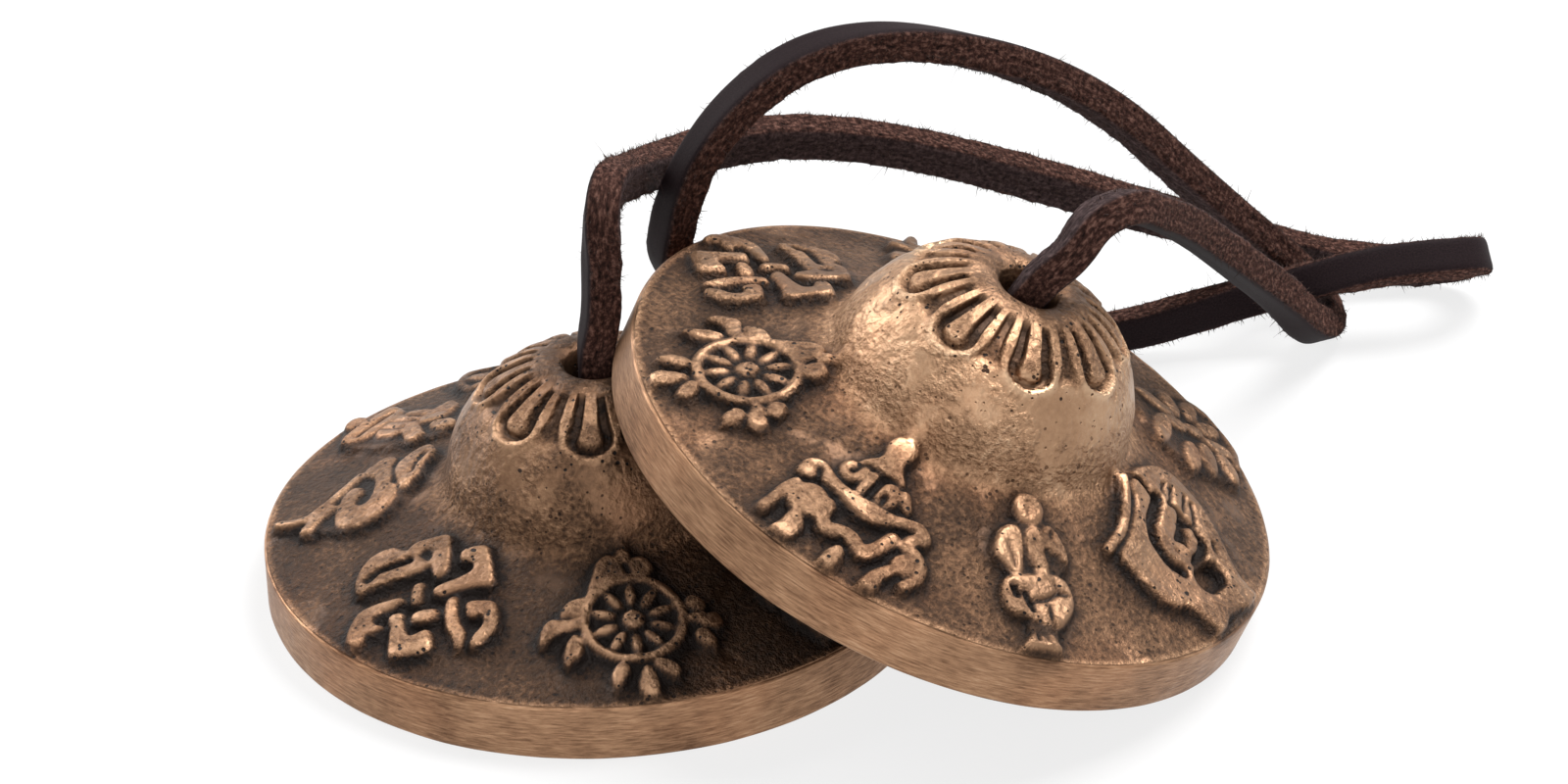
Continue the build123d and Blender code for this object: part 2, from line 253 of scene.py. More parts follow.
# By the numbers of the route's points, with those at the left hole below 0 and at the right hole from 46 on
grain_faces = {
    -3: (-1, 0, 0), 0: (-1, -0.25, 0), 1: (-1, -0.3, 0), 2: (-1, 0.1, 0.2), 4: (-0.75, 0.6, 0.1),
    6: (-0.4, 0.9, 0.2), 9: (-0.3, 0.9, 0.25), 12: (-0.1, 1, 0.1), 13: (0.6, 0.8, 0), 14: (1, 0, 0.2),
    15: (0.3, -0.6, 0.75),
    16: (0, -0.7, 0.7), 17: (0, -0.85, 0.4), 18: (0, -1, 0.1), 21: (0, -1, 0), 23: (-0.6, -0.7, 0.3),
    25: (-0.8, -0.6, 0.1), 26: (-0.8, -0.35, 0.5), 27: (-0.6, -0.3, 0.8), 28: (-0.3, -0.2, 0.95),
    29: (0.1, 0.15, 1), 30: (0.4, 0.5, 0.8), 31: (0.5, 0.65, 0.6), 33: (0.6, 0.75, 0.3), 36: (0.6, 0.75, 0),
    37: (0.55, 0.3, -0.75), 38: (0.1, -0.5, -0.8), 39: (-0.2, -0.6, -0.7), 41: (-0.3, -0.45, -0.8),
    43: (-0.1, -0.2, -0.95), 45: (0.5, -0.1, -0.85), 49: (0.68, -0.1, -0.72),
}
# A control point of this curve has its strongest pull half a step before its own number
pull = np.clip(np.array(list(grain_faces)) + first_on_route - 0.5, 0, len(controls) - 2)
steps = np.linspace(0, len(controls) - 2, len(rough_line))
step_at = np.interp(along, rough_along, steps)
wanted = read_line(step_at, pull, list(grain_faces.values()))
heading = unit(np.gradient(thong_line, axis=0))
grain_way = unit(wanted - (wanted * heading).sum(1, keepdims=True) * heading)
edge_way = np.cross(heading, grain_way)
print("grain side given at %d points" % len(grain_faces))


# %% The thong's section
def ease(low, high, x):
    """A smooth step: 0 below low, 1 above high, and 3t² - 2t³ between. It falls if low is the larger."""
    t = np.clip((x - low) / (high - low), 0, 1)
    return t * t * (3 - 2 * t)


def wander(draw, rows, columns, row_cell, column_cell):
    """Smooth random heights of about one, on a grid that closes along its columns: random numbers on a
    coarse grid, spread over the fine one by cubic easing."""
    coarse = draw.normal(size=(rows // row_cell + 2, columns // column_cell))
    at = np.arange(rows) / row_cell
    low = at.astype(int)
    share = ease(0, 1, at - low)[:, None]
    spread = coarse[low] * (1 - share) + coarse[low + 1] * share
    at = np.arange(columns) * coarse.shape[1] / columns
    low = at.astype(int)
    share = ease(0, 1, at - low)
    return spread[:, low] * (1 - share) + spread[:, (low + 1) % coarse.shape[1]] * share


def section(angle, across, thick, squareness):
    """Distance from the middle of a nearly square section at an angle from the grain side: the superellipse
    (|cos a| / half thickness)^n + (|sin a| / half width)^n = 1 / distance^n."""
    to_face = np.abs(np.cos(angle)) / (thick / 2)
    to_edge = np.abs(np.sin(angle)) / (across / 2)
    return (to_face ** squareness + to_edge ** squareness) ** (-1 / squareness)


# %% The thong's surface
draw = np.random.default_rng(seed=7)
section_points = 48
squareness = 7.0
side_blend = (0.80, 0.97)
lump_height = 0.055
fine_lumps = 0.6
swell_share = 0.018
room_for_lumps = 0.04 * MM
lay_across = 2.3
angle = np.linspace(0, 2 * np.pi, section_points, endpoint=False)
reach = section(angle, thong_w, thong_t, squareness)
grain_mask = ease(*side_blend, np.cos(angle) * reach / (thong_t / 2))
cut_mask = ease(*side_blend, np.abs(np.sin(angle)) * reach / (thong_w / 2))
roughness = (1 - grain_mask) * lump_height * MM
lumps = wander(draw, ring_count, section_points, row_cell=3, column_cell=2)
lumps += fine_lumps * wander(draw, ring_count, section_points, row_cell=1, column_cell=1)
swell = 1 + swell_share * wander(draw, ring_count, section_points, row_cell=24, column_cell=24)
distance = reach[None, :] * swell - room_for_lumps + roughness[None, :] * lumps
out_way = (np.cos(angle)[None, :, None] * grain_way[:, None, :]
           + np.sin(angle)[None, :, None] * edge_way[:, None, :])
thong_points = thong_line[:, None, :] + distance[..., None] * out_way
thong_lay = np.stack(np.broadcast_arrays(along[:, None] / MM, (angle * lay_across)[None, :], 0.0), axis=-1)
thong_grain = np.broadcast_to(grain_mask[None, :], distance.shape)
thong_cut = np.broadcast_to(cut_mask[None, :], distance.shape)


def thong_piece(name, first, last):
    """The stretch of thong between two rings, closed at its ends."""
    rings = last - first + 1
    count = rings * section_points
    caps = [range(section_points - 1, -1, -1), range(count - section_points, count)]
    these = slice(first, last + 1)
    values = {"grain_side": thong_grain[these].ravel(), "cut_side": thong_cut[these].ravel(),
              "lay": thong_lay[these].reshape(-1, 3)}
    points = thong_points[these].reshape(-1, 3)
    return make_piece(name, points, grid_quads(rings, section_points), caps, values)


end_out = 8 * MM
end_rings = int((neck_in + end_out) / ring_step)
strap = thong_piece("strap_leather", end_rings, ring_count - 1 - end_rings)
left_end = thong_piece("left_strap_end", 0, end_rings)
right_end = thong_piece("right_strap_end", ring_count - 1 - end_rings, ring_count - 1)

# %% [markdown]
# ## Fibres
#
# The cut edges and the flesh side are never clean: short fibres stand out all along them. Hair particles
# would not be exported, so each fibre is a thin three-sided spike: thousands of short straight ones, and a
# few long ones that bend.

# %% Fibres along the thong
# Where fibres start, as shares of the way round the section from the middle of the grain side
fibre_corners = [0.17, 0.33, 0.67, 0.83, 0.5]
rough_sides = (0.15, 0.85)
fibre_sides = 3
fibre_root = 0.1 * MM
fibre_taper = 0.75
corner_scatter = 0.03
length_shape = 1.3
lean_share = 0.5
bend_share = 0.7


def spokes(way, side, count):
    """Directions round each way, evenly spaced: cos a times a side that is square to it, plus sin a times the
    direction square to both."""
    turn = 2 * np.pi * np.arange(count) / count
    third = np.cross(way, side)
    return np.cos(turn)[:, None] * side[:, None] + np.sin(turn)[:, None] * third[:, None]


def fibres(count, thickness, shortest, spread, rings, sway):
    """Spikes on the rough sides. A fibre starts on the surface, leans along the thong and, with more than two
    rings, bends: start + length (t way + bend t² side) for t from 0 to 1."""
    ring = draw.integers(end_rings + 2, ring_count - end_rings - 2, count)
    corner = draw.choice(fibre_corners, count) + draw.normal(0, corner_scatter, count)
    place = (np.clip(corner, *rough_sides) * section_points).astype(int)
    start = thong_points[ring, place]
    out = out_way[ring, place]
    lean = heading[ring] * draw.normal(0, sway, count)[:, None]
    lean += draw.normal(0, lean_share * sway, (count, 3))
    way = unit(out + lean)
    side = unit(np.cross(way, draw.normal(size=(count, 3))))
    length = (shortest + draw.gamma(length_shape, spread, count)) * MM
    t = np.linspace(0, 1, rings)
    bend = draw.normal(0, bend_share * sway, count)
    spine = (start - fibre_root * out)[:, None] + length[:, None, None] * (
        t[None, :, None] * way[:, None] + (bend[:, None] * t ** 2)[..., None] * side[:, None])
    above_floor = spine[..., 2].min(1) > thickness
    spine, way, side = spine[above_floor], way[above_floor], side[above_floor]
    radius = thickness / 2 * (1 - fibre_taper * t)
    points = spine[:, :, None] + radius[None, :, None, None] * spokes(way, side, fibre_sides)[:, None]
    first_corner = np.arange(len(spine)) * fibre_sides * rings
    quads = (grid_quads(rings, fibre_sides)[None] + first_corner[:, None, None]).reshape(-1, 4)
    return points.reshape(-1, 3), quads


fuzz_points, fuzz_quads = fibres(
    count=23000, thickness=0.10 * MM, shortest=0.16, spread=0.13, rings=2, sway=0.7)
stray_points, stray_quads = fibres(
    count=260, thickness=0.06 * MM, shortest=0.5, spread=0.5, rings=6, sway=1.6)
strap_fibres = make_piece("strap_fibres", np.vstack([fuzz_points, stray_points]),
                          np.vstack([fuzz_quads, stray_quads + len(fuzz_points)]))

# %% [markdown]
# ## Knots
#
# Inside each dome the thong is tied so that it can't pull back through the hole. The knot is hidden unless
# the pair is turned over, so a plain overhand knot will do: a trefoil line with a round section, and a tail.

# %% Knots inside the domes, with sizes in millimetres
# Heights above a cymbal's underside: its joint, and the middle of its knot
pivot_z = 23.4
knot_z = 17.4
# The knot's loops and its tail
knot_size = (1.12, 1.12, 0.9)
knot_steps = 180
knot_sides = 20
loop_r = 1.45
tail_r = 1.6
tail_taper = 0.12
tail_drift = 1.7
tail_wave = 0.4
tail_drop = 7.4
tail_steps = 16
steady_side = np.array([0.31, 0.57, 0.76])


def tube(line, radius):
    """A round tube along a line, squared up to a fixed side direction that the line never follows."""
    way = unit(np.gradient(line, axis=0))
    side = unit(np.cross(way, steady_side))
    return line[:, None] + np.reshape(radius, (-1, 1, 1)) * spokes(way, side, knot_sides)


# %% A cymbal's own frame
no_lean = 1e-6


def about_z(angle):
    """A turn about +Z, as a matrix."""
    c, s = math.cos(angle), math.sin(angle)
    return np.array([[c, -s, 0], [s, c, 0], [0, 0, 1]])


def about_y(angle):
    """A turn about +Y, as a matrix."""
    c, s = math.cos(angle), math.sin(angle)
    return np.array([[c, 0, s], [0, 1, 0], [-s, 0, c]])


def own_frame(axis, turn_deg):
    """Rotation from a cymbal's own frame: a turn about its axis, then the lean, then the heading."""
    lean = math.acos(min(1.0, axis[2]))
    way = math.atan2(axis[1], axis[0]) if lean > no_lean else 0.0
    return about_z(way) @ about_y(lean) @ about_z(math.radians(turn_deg))


# %% The two knots
def knot_piece(name, hole, axis):
    """A trefoil, x = sin t + 2 sin 2t, y = cos t - 2 cos 2t, z = -sin 3t, under the crown, with a tail."""
    t = np.linspace(0, 2 * np.pi, knot_steps + 1)[:-1]
    loop = np.stack([np.sin(t) + 2 * np.sin(2 * t), np.cos(t) - 2 * np.cos(2 * t), -np.sin(3 * t)], 1)
    loop = loop * knot_size + [0, 0, knot_z]
    fall = np.linspace(0, 1, tail_steps)
    tail = np.stack([-tail_drift * fall, tail_wave * np.sin(3 * fall), knot_z - tail_drop * fall], 1)
    parts = [tube(loop, loop_r), tube(tail, tail_r * (1 - tail_taper * fall))]
    place = own_frame(axis, 0.0)
    base = hole - axis * pivot_z * MM
    points = np.vstack([part.reshape(-1, 3) @ place.T * MM + base for part in parts])
    count = len(points)
    loop_count = knot_steps * knot_sides
    quads = np.vstack([grid_quads(knot_steps, knot_sides, ring=True),
                       grid_quads(tail_steps, knot_sides) + loop_count])
    caps = [range(loop_count + knot_sides - 1, loop_count - 1, -1), range(count - knot_sides, count)]
    values = {"grain_side": np.full(count, 0.0), "cut_side": np.full(count, 1.0), "lay": points / MM}
    return make_piece(name, points, quads, caps, values)


left_knot = knot_piece("left_knot_tied", left_hole, left_axis)
right_knot = knot_piece("right_knot_tied", right_hole, right_axis)

# %% [markdown]
# ## The cymbals' plain form
#
# A tingsha is cast thick: a small dome with a bored crown, a sloping plate, a square-cut rim and a hollow
# underside. Turned about its axis this is one closed profile, so the surface is a grid of profile points by
# angle that closes both ways, through the bore. The rows lie close together where the relief is.

# %% Sizes of a cymbal, in millimetres
disc_r = 32.5
rim_h = 5.5
ring_w = 3.5
edge_r = 0.3
hole_r = 3.0
crown_r = 5.0
crown_z = 23.6
dome_round = 13.5
dome_x = 1.4
dome_z = crown_z - math.sqrt(dome_round ** 2 - (crown_r - dome_x) ** 2)
foot_z = 11.3
foot_r = dome_x + math.sqrt(dome_round ** 2 - (foot_z - dome_z) ** 2)
plate_sag = 0.55
hollow_foot = (12.6, 6.7)
hollow_side = (10.1, 15.05)
hollow_top = (4.5, 19.4)
lip_r = 0.5
bore_bevel_r = 0.2
bore_bevel_h = 0.3
bore_row_z = 21.4
ring_edge = 1.2
corner_softness = 0.7
print("dome %.1f mm wide at its foot" % (2 * foot_r))

# %% Rows of a cymbal
# Points along each stretch of the top before its rows are spaced
long_stretch = 400
short_stretch = 40
lip_steps = 12
even_steps = 1600
# Rows on the top as (radius, spacing), rows on each other stretch, and the points in a row
row_spacings = [(3.0, 0.45), (6.0, 0.32), (12.5, 0.34), (15.0, 0.4), (17.0, 0.25), (32.0, 0.25)]
corner_rows = 5
side_rows = 6
ring_rows = 3
slope_rows = 7
hollow_rows = 8
columns = 636


# %% Top of the profile
def arc_through(a, b, c, count):
    """Points of the circle through three points, from the first to the third. With points as complex
    numbers, the centre follows from the ratio of two chords."""
    a, b, c = (complex(*p) for p in (a, b, c))
    w = (c - a) / (b - a)
    centre = (b - a) * (w - abs(w) ** 2) / (2j * w.imag) + a
    turn = np.angle((c - centre) / (a - centre))
    across = np.angle((b - centre) / (a - centre))
    if turn * across < 0:
        turn -= math.copysign(2 * math.pi, turn)
    points = centre + (a - centre) * np.exp(1j * np.linspace(0, turn, count))
    return np.stack([points.real, points.imag], axis=1)


def plate_height(r):
    """The plate: a straight fall from the dome's foot to the rim, less a sag that is deepest midway."""
    share = (r - foot_r) / (disc_r - foot_r)
    return foot_z + (rim_h - foot_z) * share - 4 * plate_sag * share * (1 - share)


def outer_profile():
    """The top from the bore to the rim: lip, crown, dome, plate."""
    angle_end = math.asin((foot_z - dome_z) / dome_round)
    angle_start = math.acos((crown_r - dome_x) / dome_round)
    turn = np.linspace(angle_start, angle_end, long_stretch)
    dome = np.stack([dome_x + dome_round * np.cos(turn), dome_z + dome_round * np.sin(turn)], 1)
    r = np.linspace(foot_r, disc_r - edge_r, long_stretch)
    plate = np.stack([r, plate_height(r)], 1)
    crown = np.linspace((hole_r + lip_r, crown_z), (crown_r, crown_z), short_stretch)
    corner = math.pi / 2 * np.linspace(1, 0, lip_steps)
    lip = np.stack([hole_r + lip_r - lip_r * np.sin(corner), crown_z - lip_r + lip_r * np.cos(corner)], 1)
    return np.vstack([lip, crown[1:], dome[1:], plate[1:]])


# %% Rows along the profile
def rounded(profile, width):
    """A profile with its corners softened: each point is a weighted mean of its neighbours along the line."""
    s = lengths_along(profile)
    line = read_line(np.linspace(0, s[-1], even_steps), s, profile)
    step = s[-1] / even_steps
    half = int(3 * width / step)
    weight = np.exp(-0.5 * (np.arange(-half, half + 1) * step / width) ** 2)
    weight /= weight.sum()
    padded = np.pad(line, ((half, half), (0, 0)), mode="reflect", reflect_type="odd")
    return np.stack([np.convolve(padded[:, k], weight, "valid") for k in range(2)], 1)


def spaced_rows(line, spacings):
    """Rows along a profile, with the wanted spacing at each radius: (radius, spacing) pairs."""
    s = lengths_along(line)
    wanted = np.interp(line[:, 0], [r for r, _ in spacings], [gap for _, gap in spacings])
    number = np.concatenate([[0], np.cumsum(np.diff(s) / wanted[1:])])
    rows = np.linspace(0, number[-1], int(round(number[-1])) + 1)
    return read_line(rows, number, line)


# %% The whole profile
def rim_corner(z, turn):
    """A rounded edge of the rim, about a centre at height z."""
    return np.stack([disc_r - edge_r + edge_r * np.cos(turn), z + edge_r * np.sin(turn)], 1)


top = spaced_rows(rounded(outer_profile(), corner_softness), row_spacings)
bend = np.linspace(math.pi / 2, 0, corner_rows)[1:]
rim_top = rim_corner(rim_h - edge_r, bend)
rim_side = np.linspace((disc_r, rim_h - edge_r), (disc_r, edge_r), side_rows)[1:]
rim_foot = rim_corner(edge_r, bend - math.pi / 2)
under = np.vstack([
    np.linspace((disc_r - ring_edge, 0), (disc_r - ring_w, 0), ring_rows),
    np.linspace((disc_r - ring_w, 0), hollow_foot, slope_rows)[1:],
    arc_through(hollow_foot, hollow_side, hollow_top, hollow_rows)[1:],
    [(hole_r + bore_bevel_r, hollow_top[1]), (hole_r, hollow_top[1] + bore_bevel_h), (hole_r, bore_row_z)],
])
profile = np.vstack([top, rim_top, rim_side, rim_foot, under])
print("profile of %d rows, %d on top" % (len(profile), len(top)))

# %% [markdown]
# ## Relief
#
# Eight lucky symbols stand on the plate, and lotus petals ring the dome. They look cut in wax with a knife
# before casting: their tops are flat and their sides fall off short and round. Each symbol is a list of
# simple patches, strokes, beads and grooves. The height of a shape follows from the distance to its outline.
# A symbol is the highest of its shapes, and a groove takes off from those before it. Points are (u, v): u to
# the right as seen from outside the rim, v out from the axis.

# %% Distance from an outline
relief_h = 1.1
side_out = 0.6
side_in = 0.08
corner_cut = 0.18
groove_out = 0.15
groove_in = 0.25


def shoulder(inside):
    """From 0 a little outside an outline to 1 a little inside it, by easing."""
    return ease(-side_out, side_in, inside)


def near_line(u, v, points):
    """Distance from the nearest point of a line of straight runs. On each run that point lies at a share t of
    it, held between 0 and 1."""
    best = np.full(u.shape, np.inf)
    for (u0, v0), (u1, v1) in zip(points, points[1:]):
        du, dv = u1 - u0, v1 - v0
        t = np.clip(((u - u0) * du + (v - v0) * dv) / (du * du + dv * dv), 0, 1)
        best = np.minimum(best, np.hypot(u - u0 - t * du, v - v0 - t * dv))
    return best


def softened(points, closed=False):
    """A line with its corners cut twice: each run keeps its middle part, so a corner becomes a short bend."""
    line = np.array(points, float)
    for _ in range(2):
        here = line if closed else line[:-1]
        ahead = np.roll(line, -1, 0) if closed else line[1:]
        keep = 1 - corner_cut
        cut = np.stack([keep * here + corner_cut * ahead, corner_cut * here + keep * ahead], 1)
        cut = cut.reshape(-1, 2)
        line = cut if closed else np.vstack([line[:1], cut, line[-1:]])
    return [tuple(point) for point in line]


# %% Patches, strokes, beads and grooves
def stroke(width, *points, level=1.0):
    """A band with round ends that follows points."""
    line = softened(points)

    def height(u, v):
        return level * shoulder(width / 2 - near_line(u, v, line))
    return height


def bead(u0, v0, across, along, turn=0.0, level=1.0):
    """An oval with a flat top. away is 0 in its middle and 1 on its outline."""
    def height(u, v):
        angle = math.radians(turn)
        du = (u - u0) * math.cos(angle) + (v - v0) * math.sin(angle)
        dv = (v - v0) * math.cos(angle) - (u - u0) * math.sin(angle)
        away = np.hypot(du / (across / 2), dv / (along / 2))
        return level * shoulder((1 - away) * min(across, along) / 2)
    return height


def patch(*points, level=1.0):
    """A flat patch inside a soft outline through the given corners. A point is inside if a line from it to
    one side crosses the outline an odd number of times."""
    outline = softened(points, closed=True)
    sides = list(zip(outline, outline[1:] + outline[:1]))

    def height(u, v):
        edge = near_line(u, v, outline + outline[:1])
        odd = np.zeros(u.shape, bool)
        for (u0, v0), (u1, v1) in sides:
            if v0 != v1:
                odd ^= ((v0 > v) != (v1 > v)) & (u < u0 + (v - v0) * (u1 - u0) / (v1 - v0))
        return level * shoulder(np.where(odd, edge, -edge))
    return height


def groove(width, *points, depth=0.5):
    """A cut along a line, taken off what stands there: full in the middle, and eased out at its sides."""
    line = softened(points)

    def height(u, v):
        return -depth * ease(width / 2 + groove_out, width / 2 - groove_in, near_line(u, v, line))
    return height


# %% The endless knot
def endless_knot():
    """A band woven into a closed knot, cut up where it passes under itself."""
    return [
        # the loop on the left, cut out along its bar
        patch((-5.7, 26.5), (-7.3, 25.2), (-8.1, 23.6), (-8.3, 22.2), (-7.8, 21.0), (-7.0, 20.2),
              (-6.0, 20.3), (-5.2, 20.0), (-3.4, 20.3), (-2.1, 20.3), (-2.2, 21.2), (-3.8, 23.1),
              (-5.0, 24.8)),
        groove(0.7, (-6.2, 24.6), (-6.2, 23.2), (-5.3, 22.2), (-4.3, 20.9), depth=0.8),
        # the corner and the bar nearest the dome
        bead(-3.3, 19.7, 1.8, 1.8, level=0.6),
        patch((-5.4, 20.2), (-5.4, 19.0), (-4.6, 18.2), (-2.9, 17.0), (-2.3, 17.3), (-0.2, 19.7), (0.1, 20.6),
              (-0.3, 21.4), (-1.6, 20.6), (-2.4, 20.3), (-2.4, 19.6), (-3.2, 18.9), (-4.0, 19.1),
              (-4.1, 20.4)),
        patch((0.4, 22.4), (1.0, 22.9), (1.7, 22.6), (3.2, 20.7), (3.8, 20.1), (4.9, 19.4), (4.6, 18.7),
              (1.9, 16.6), (1.3, 16.4), (0.0, 17.5), (-0.2, 18.1), (0.4, 18.7), (0.9, 18.5), (1.5, 18.2),
              (2.2, 18.7), (2.2, 19.4), (1.6, 20.5)),
        # the bar and the hook on the right
        patch((2.6, 22.8), (3.1, 22.0), (4.3, 23.4), (5.6, 24.3), (6.9, 24.8), (7.6, 26.6), (6.4, 25.9),
              (4.6, 25.0), (3.4, 23.9)),
        patch((4.5, 22.2), (5.0, 21.6), (6.6, 20.6), (8.2, 21.9), (9.0, 23.2), (8.8, 25.2), (8.2, 25.6),
              (7.7, 24.4), (7.7, 23.2), (7.0, 22.4), (6.3, 22.5), (5.9, 23.2), (5.2, 22.9)),
        # the two loops nearest the rim
        patch((-0.8, 27.0), (0.0, 26.1), (0.6, 26.8), (1.6, 27.6), (2.6, 28.1), (3.0, 27.6), (3.3, 26.7),
              (3.8, 26.4), (5.4, 27.8), (5.1, 28.7), (4.2, 29.5), (3.0, 30.7), (2.4, 30.4), (1.0, 28.8),
              (0.3, 27.9), (-0.4, 27.5)),
        patch((-1.0, 24.7), (-1.7, 25.0), (-2.7, 26.1), (-3.6, 27.4), (-3.7, 28.7), (-3.1, 30.0),
              (-2.2, 31.4), (-0.8, 31.7), (-0.7, 30.6), (-1.3, 30.1), (-0.5, 29.3), (-0.6, 28.2),
              (-1.1, 28.7), (-2.1, 28.2), (-2.0, 27.2), (-1.3, 26.0)),
        # the two short bars in the middle
        patch((-1.6, 23.0), (-1.0, 22.3), (-0.3, 23.2), (0.5, 24.2), (0.1, 24.8), (-0.8, 24.2)),
        patch((1.0, 25.8), (1.5, 26.5), (2.9, 25.4), (3.1, 24.8), (2.6, 24.1), (1.6, 24.8)),
    ]


# %% The wheel
wheel_u = 0.7
wheel_v = 22.8
wheel_r = 4.55
wheel_steps = 24
spoke_r = 2.75
spoke_count = 10


def round_wheel(radius, angle):
    """A point round the wheel's hub, from the side nearest the dome."""
    return wheel_u + radius * math.sin(angle), wheel_v - radius * math.cos(angle)


def wheel():
    """A hub, spokes and a rim, with three jewels on each of four sides."""
    shapes = [bead(wheel_u, wheel_v, 1.8, 1.9)]
    rim = [round_wheel(wheel_r, 2 * math.pi * i / wheel_steps) for i in range(wheel_steps + 1)]
    shapes.append(stroke(0.7, *rim))
    for i in range(spoke_count):
        angle = 2 * math.pi * i / spoke_count
        shapes.append(bead(*round_wheel(spoke_r, angle), 0.85, 1.9, math.degrees(angle), 0.9))
    # three jewels on each of four sides: the left, the rim's, the right and the dome's
    return shapes + [
        patch((-5.9, 27.4), (-6.0, 26.0), (-5.5, 24.6), (-4.8, 23.7), (-4.2, 24.6), (-4.3, 26.0),
              (-5.2, 26.8)),
        patch((-8.0, 24.7), (-7.9, 23.4), (-7.3, 22.2), (-6.7, 21.8), (-5.6, 22.2), (-4.0, 22.2),
              (-3.9, 22.8), (-5.2, 23.3), (-6.4, 23.4), (-7.2, 23.9)),
        patch((-5.9, 21.7), (-5.5, 20.7), (-4.9, 20.1), (-3.6, 19.8), (-2.8, 20.4), (-3.4, 21.4),
              (-4.3, 21.8)),
        patch((-1.7, 30.7), (-2.0, 29.4), (-1.5, 28.2), (-0.9, 27.6), (-0.3, 28.3), (-0.6, 29.2),
              (-1.1, 29.8)),
        patch((1.3, 32.3), (0.4, 30.9), (0.7, 29.4), (1.3, 28.1), (1.9, 29.4), (2.1, 30.6), (1.9, 31.6)),
        patch((1.9, 28.0), (2.6, 29.2), (3.8, 29.8), (4.3, 28.8), (3.4, 27.9), (2.6, 27.6)),
        patch((6.1, 25.0), (6.8, 26.1), (7.8, 26.2), (7.9, 25.2), (7.2, 24.3), (6.4, 24.3)),
        patch((5.2, 22.9), (6.6, 23.7), (8.0, 24.1), (8.8, 23.4), (8.4, 22.4), (7.4, 22.5), (6.2, 22.5)),
        patch((5.7, 21.2), (6.2, 22.1), (7.2, 22.1), (7.4, 21.2), (6.6, 20.4), (5.9, 20.5)),
        patch((-3.3, 20.0), (-2.9, 18.9), (-2.4, 17.6), (-2.0, 16.5), (-1.0, 15.6), (-0.3, 16.0), (0.2, 16.9),
              (0.6, 18.0), (0.6, 18.6), (-1.2, 18.8), (-2.4, 19.9)),
        patch((-0.2, 16.0), (0.0, 15.2), (0.8, 15.1), (1.1, 15.8), (0.7, 16.7)),
        patch((0.9, 17.0), (1.5, 16.0), (2.5, 16.2), (3.1, 17.2), (2.5, 18.1), (1.5, 18.3)),
    ]


# %% The parasol
def parasol():
    """A finial, a frilled top, a canopy, and scarves and tassels under it."""
    return [
        # finial, top and frill
        patch((-1.9, 16.4), (-1.5, 15.4), (-0.8, 15.0), (0.0, 15.1), (0.5, 15.9), (0.6, 16.9), (0.3, 17.7),
              (0.5, 18.4), (1.7, 19.7), (0.8, 19.4), (-0.6, 19.6), (-2.0, 19.4), (-3.0, 20.0), (-2.6, 19.2),
              (-1.8, 18.6), (-1.5, 17.9)),
        stroke(0.65, (-3.3, 20.4), (-3.8, 20.7), (-3.6, 21.5), (-2.8, 21.9), (-2.2, 21.4), (-2.0, 20.4)),
        stroke(0.65, (-1.1, 20.4), (-1.3, 22.4)),
        patch((0.1, 22.7), (0.2, 20.5), (0.7, 20.1), (1.5, 20.2), (2.1, 22.1), (1.3, 22.6)),
        groove(0.45, (1.0, 22.4), (0.8, 21.6), depth=0.8),
        stroke(0.7, (2.2, 20.4), (3.1, 21.5)),
        # the canopy, curled up at both ends
        patch((-7.1, 23.9), (-6.4, 24.1), (-5.4, 23.9), (-4.8, 23.4), (-4.3, 23.8), (-3.0, 23.9),
              (-1.6, 24.5), (0.6, 25.0), (1.8, 24.6), (3.2, 23.6), (4.2, 23.0), (5.0, 22.9), (5.2, 23.3),
              (4.7, 23.9), (4.7, 24.5), (5.3, 24.6), (5.8, 24.0), (6.5, 23.5), (6.5, 22.8), (5.9, 22.2),
              (5.0, 21.9), (3.6, 22.4), (2.6, 22.9), (0.0, 23.1), (-2.8, 23.0), (-4.0, 22.5), (-5.2, 21.8),
              (-6.2, 21.8), (-6.9, 22.4)),
        groove(0.5, (-5.0, 24.0), (-5.1, 23.1), (-5.5, 22.5), depth=0.7),
        # scarves and tassels under it
        bead(-4.4, 26.4, 3.6, 3.7),
        stroke(0.9, (-6.3, 25.3), (-6.8, 26.4), (-6.9, 28.2), (-7.2, 29.6)),
        stroke(1.2, (-2.7, 25.7), (-2.5, 27.2), (-1.6, 28.3), (-0.2, 27.5), (1.0, 27.5), (2.5, 28.4),
               (3.3, 27.0), (3.8, 25.1)),
        bead(6.0, 26.9, 2.0, 2.2),
        stroke(0.8, (5.0, 25.1), (6.4, 25.0), (7.6, 25.9), (7.8, 27.4), (7.2, 28.8)),
        patch((5.2, 27.6), (5.9, 28.2), (5.3, 29.4), (5.4, 30.4), (5.3, 32.5), (4.1, 32.5), (4.1, 30.0),
              (4.6, 28.6)),
        patch((-4.9, 28.3), (-4.1, 28.2), (-3.3, 29.2), (-3.2, 30.6), (-3.8, 31.6), (-5.2, 32.5),
              (-5.8, 32.4), (-5.2, 31.0), (-4.9, 29.8)),
        patch((0.0, 32.5), (0.0, 30.4), (0.3, 29.4), (0.7, 29.1), (1.1, 29.5), (1.4, 30.6), (1.3, 32.5)),
    ]


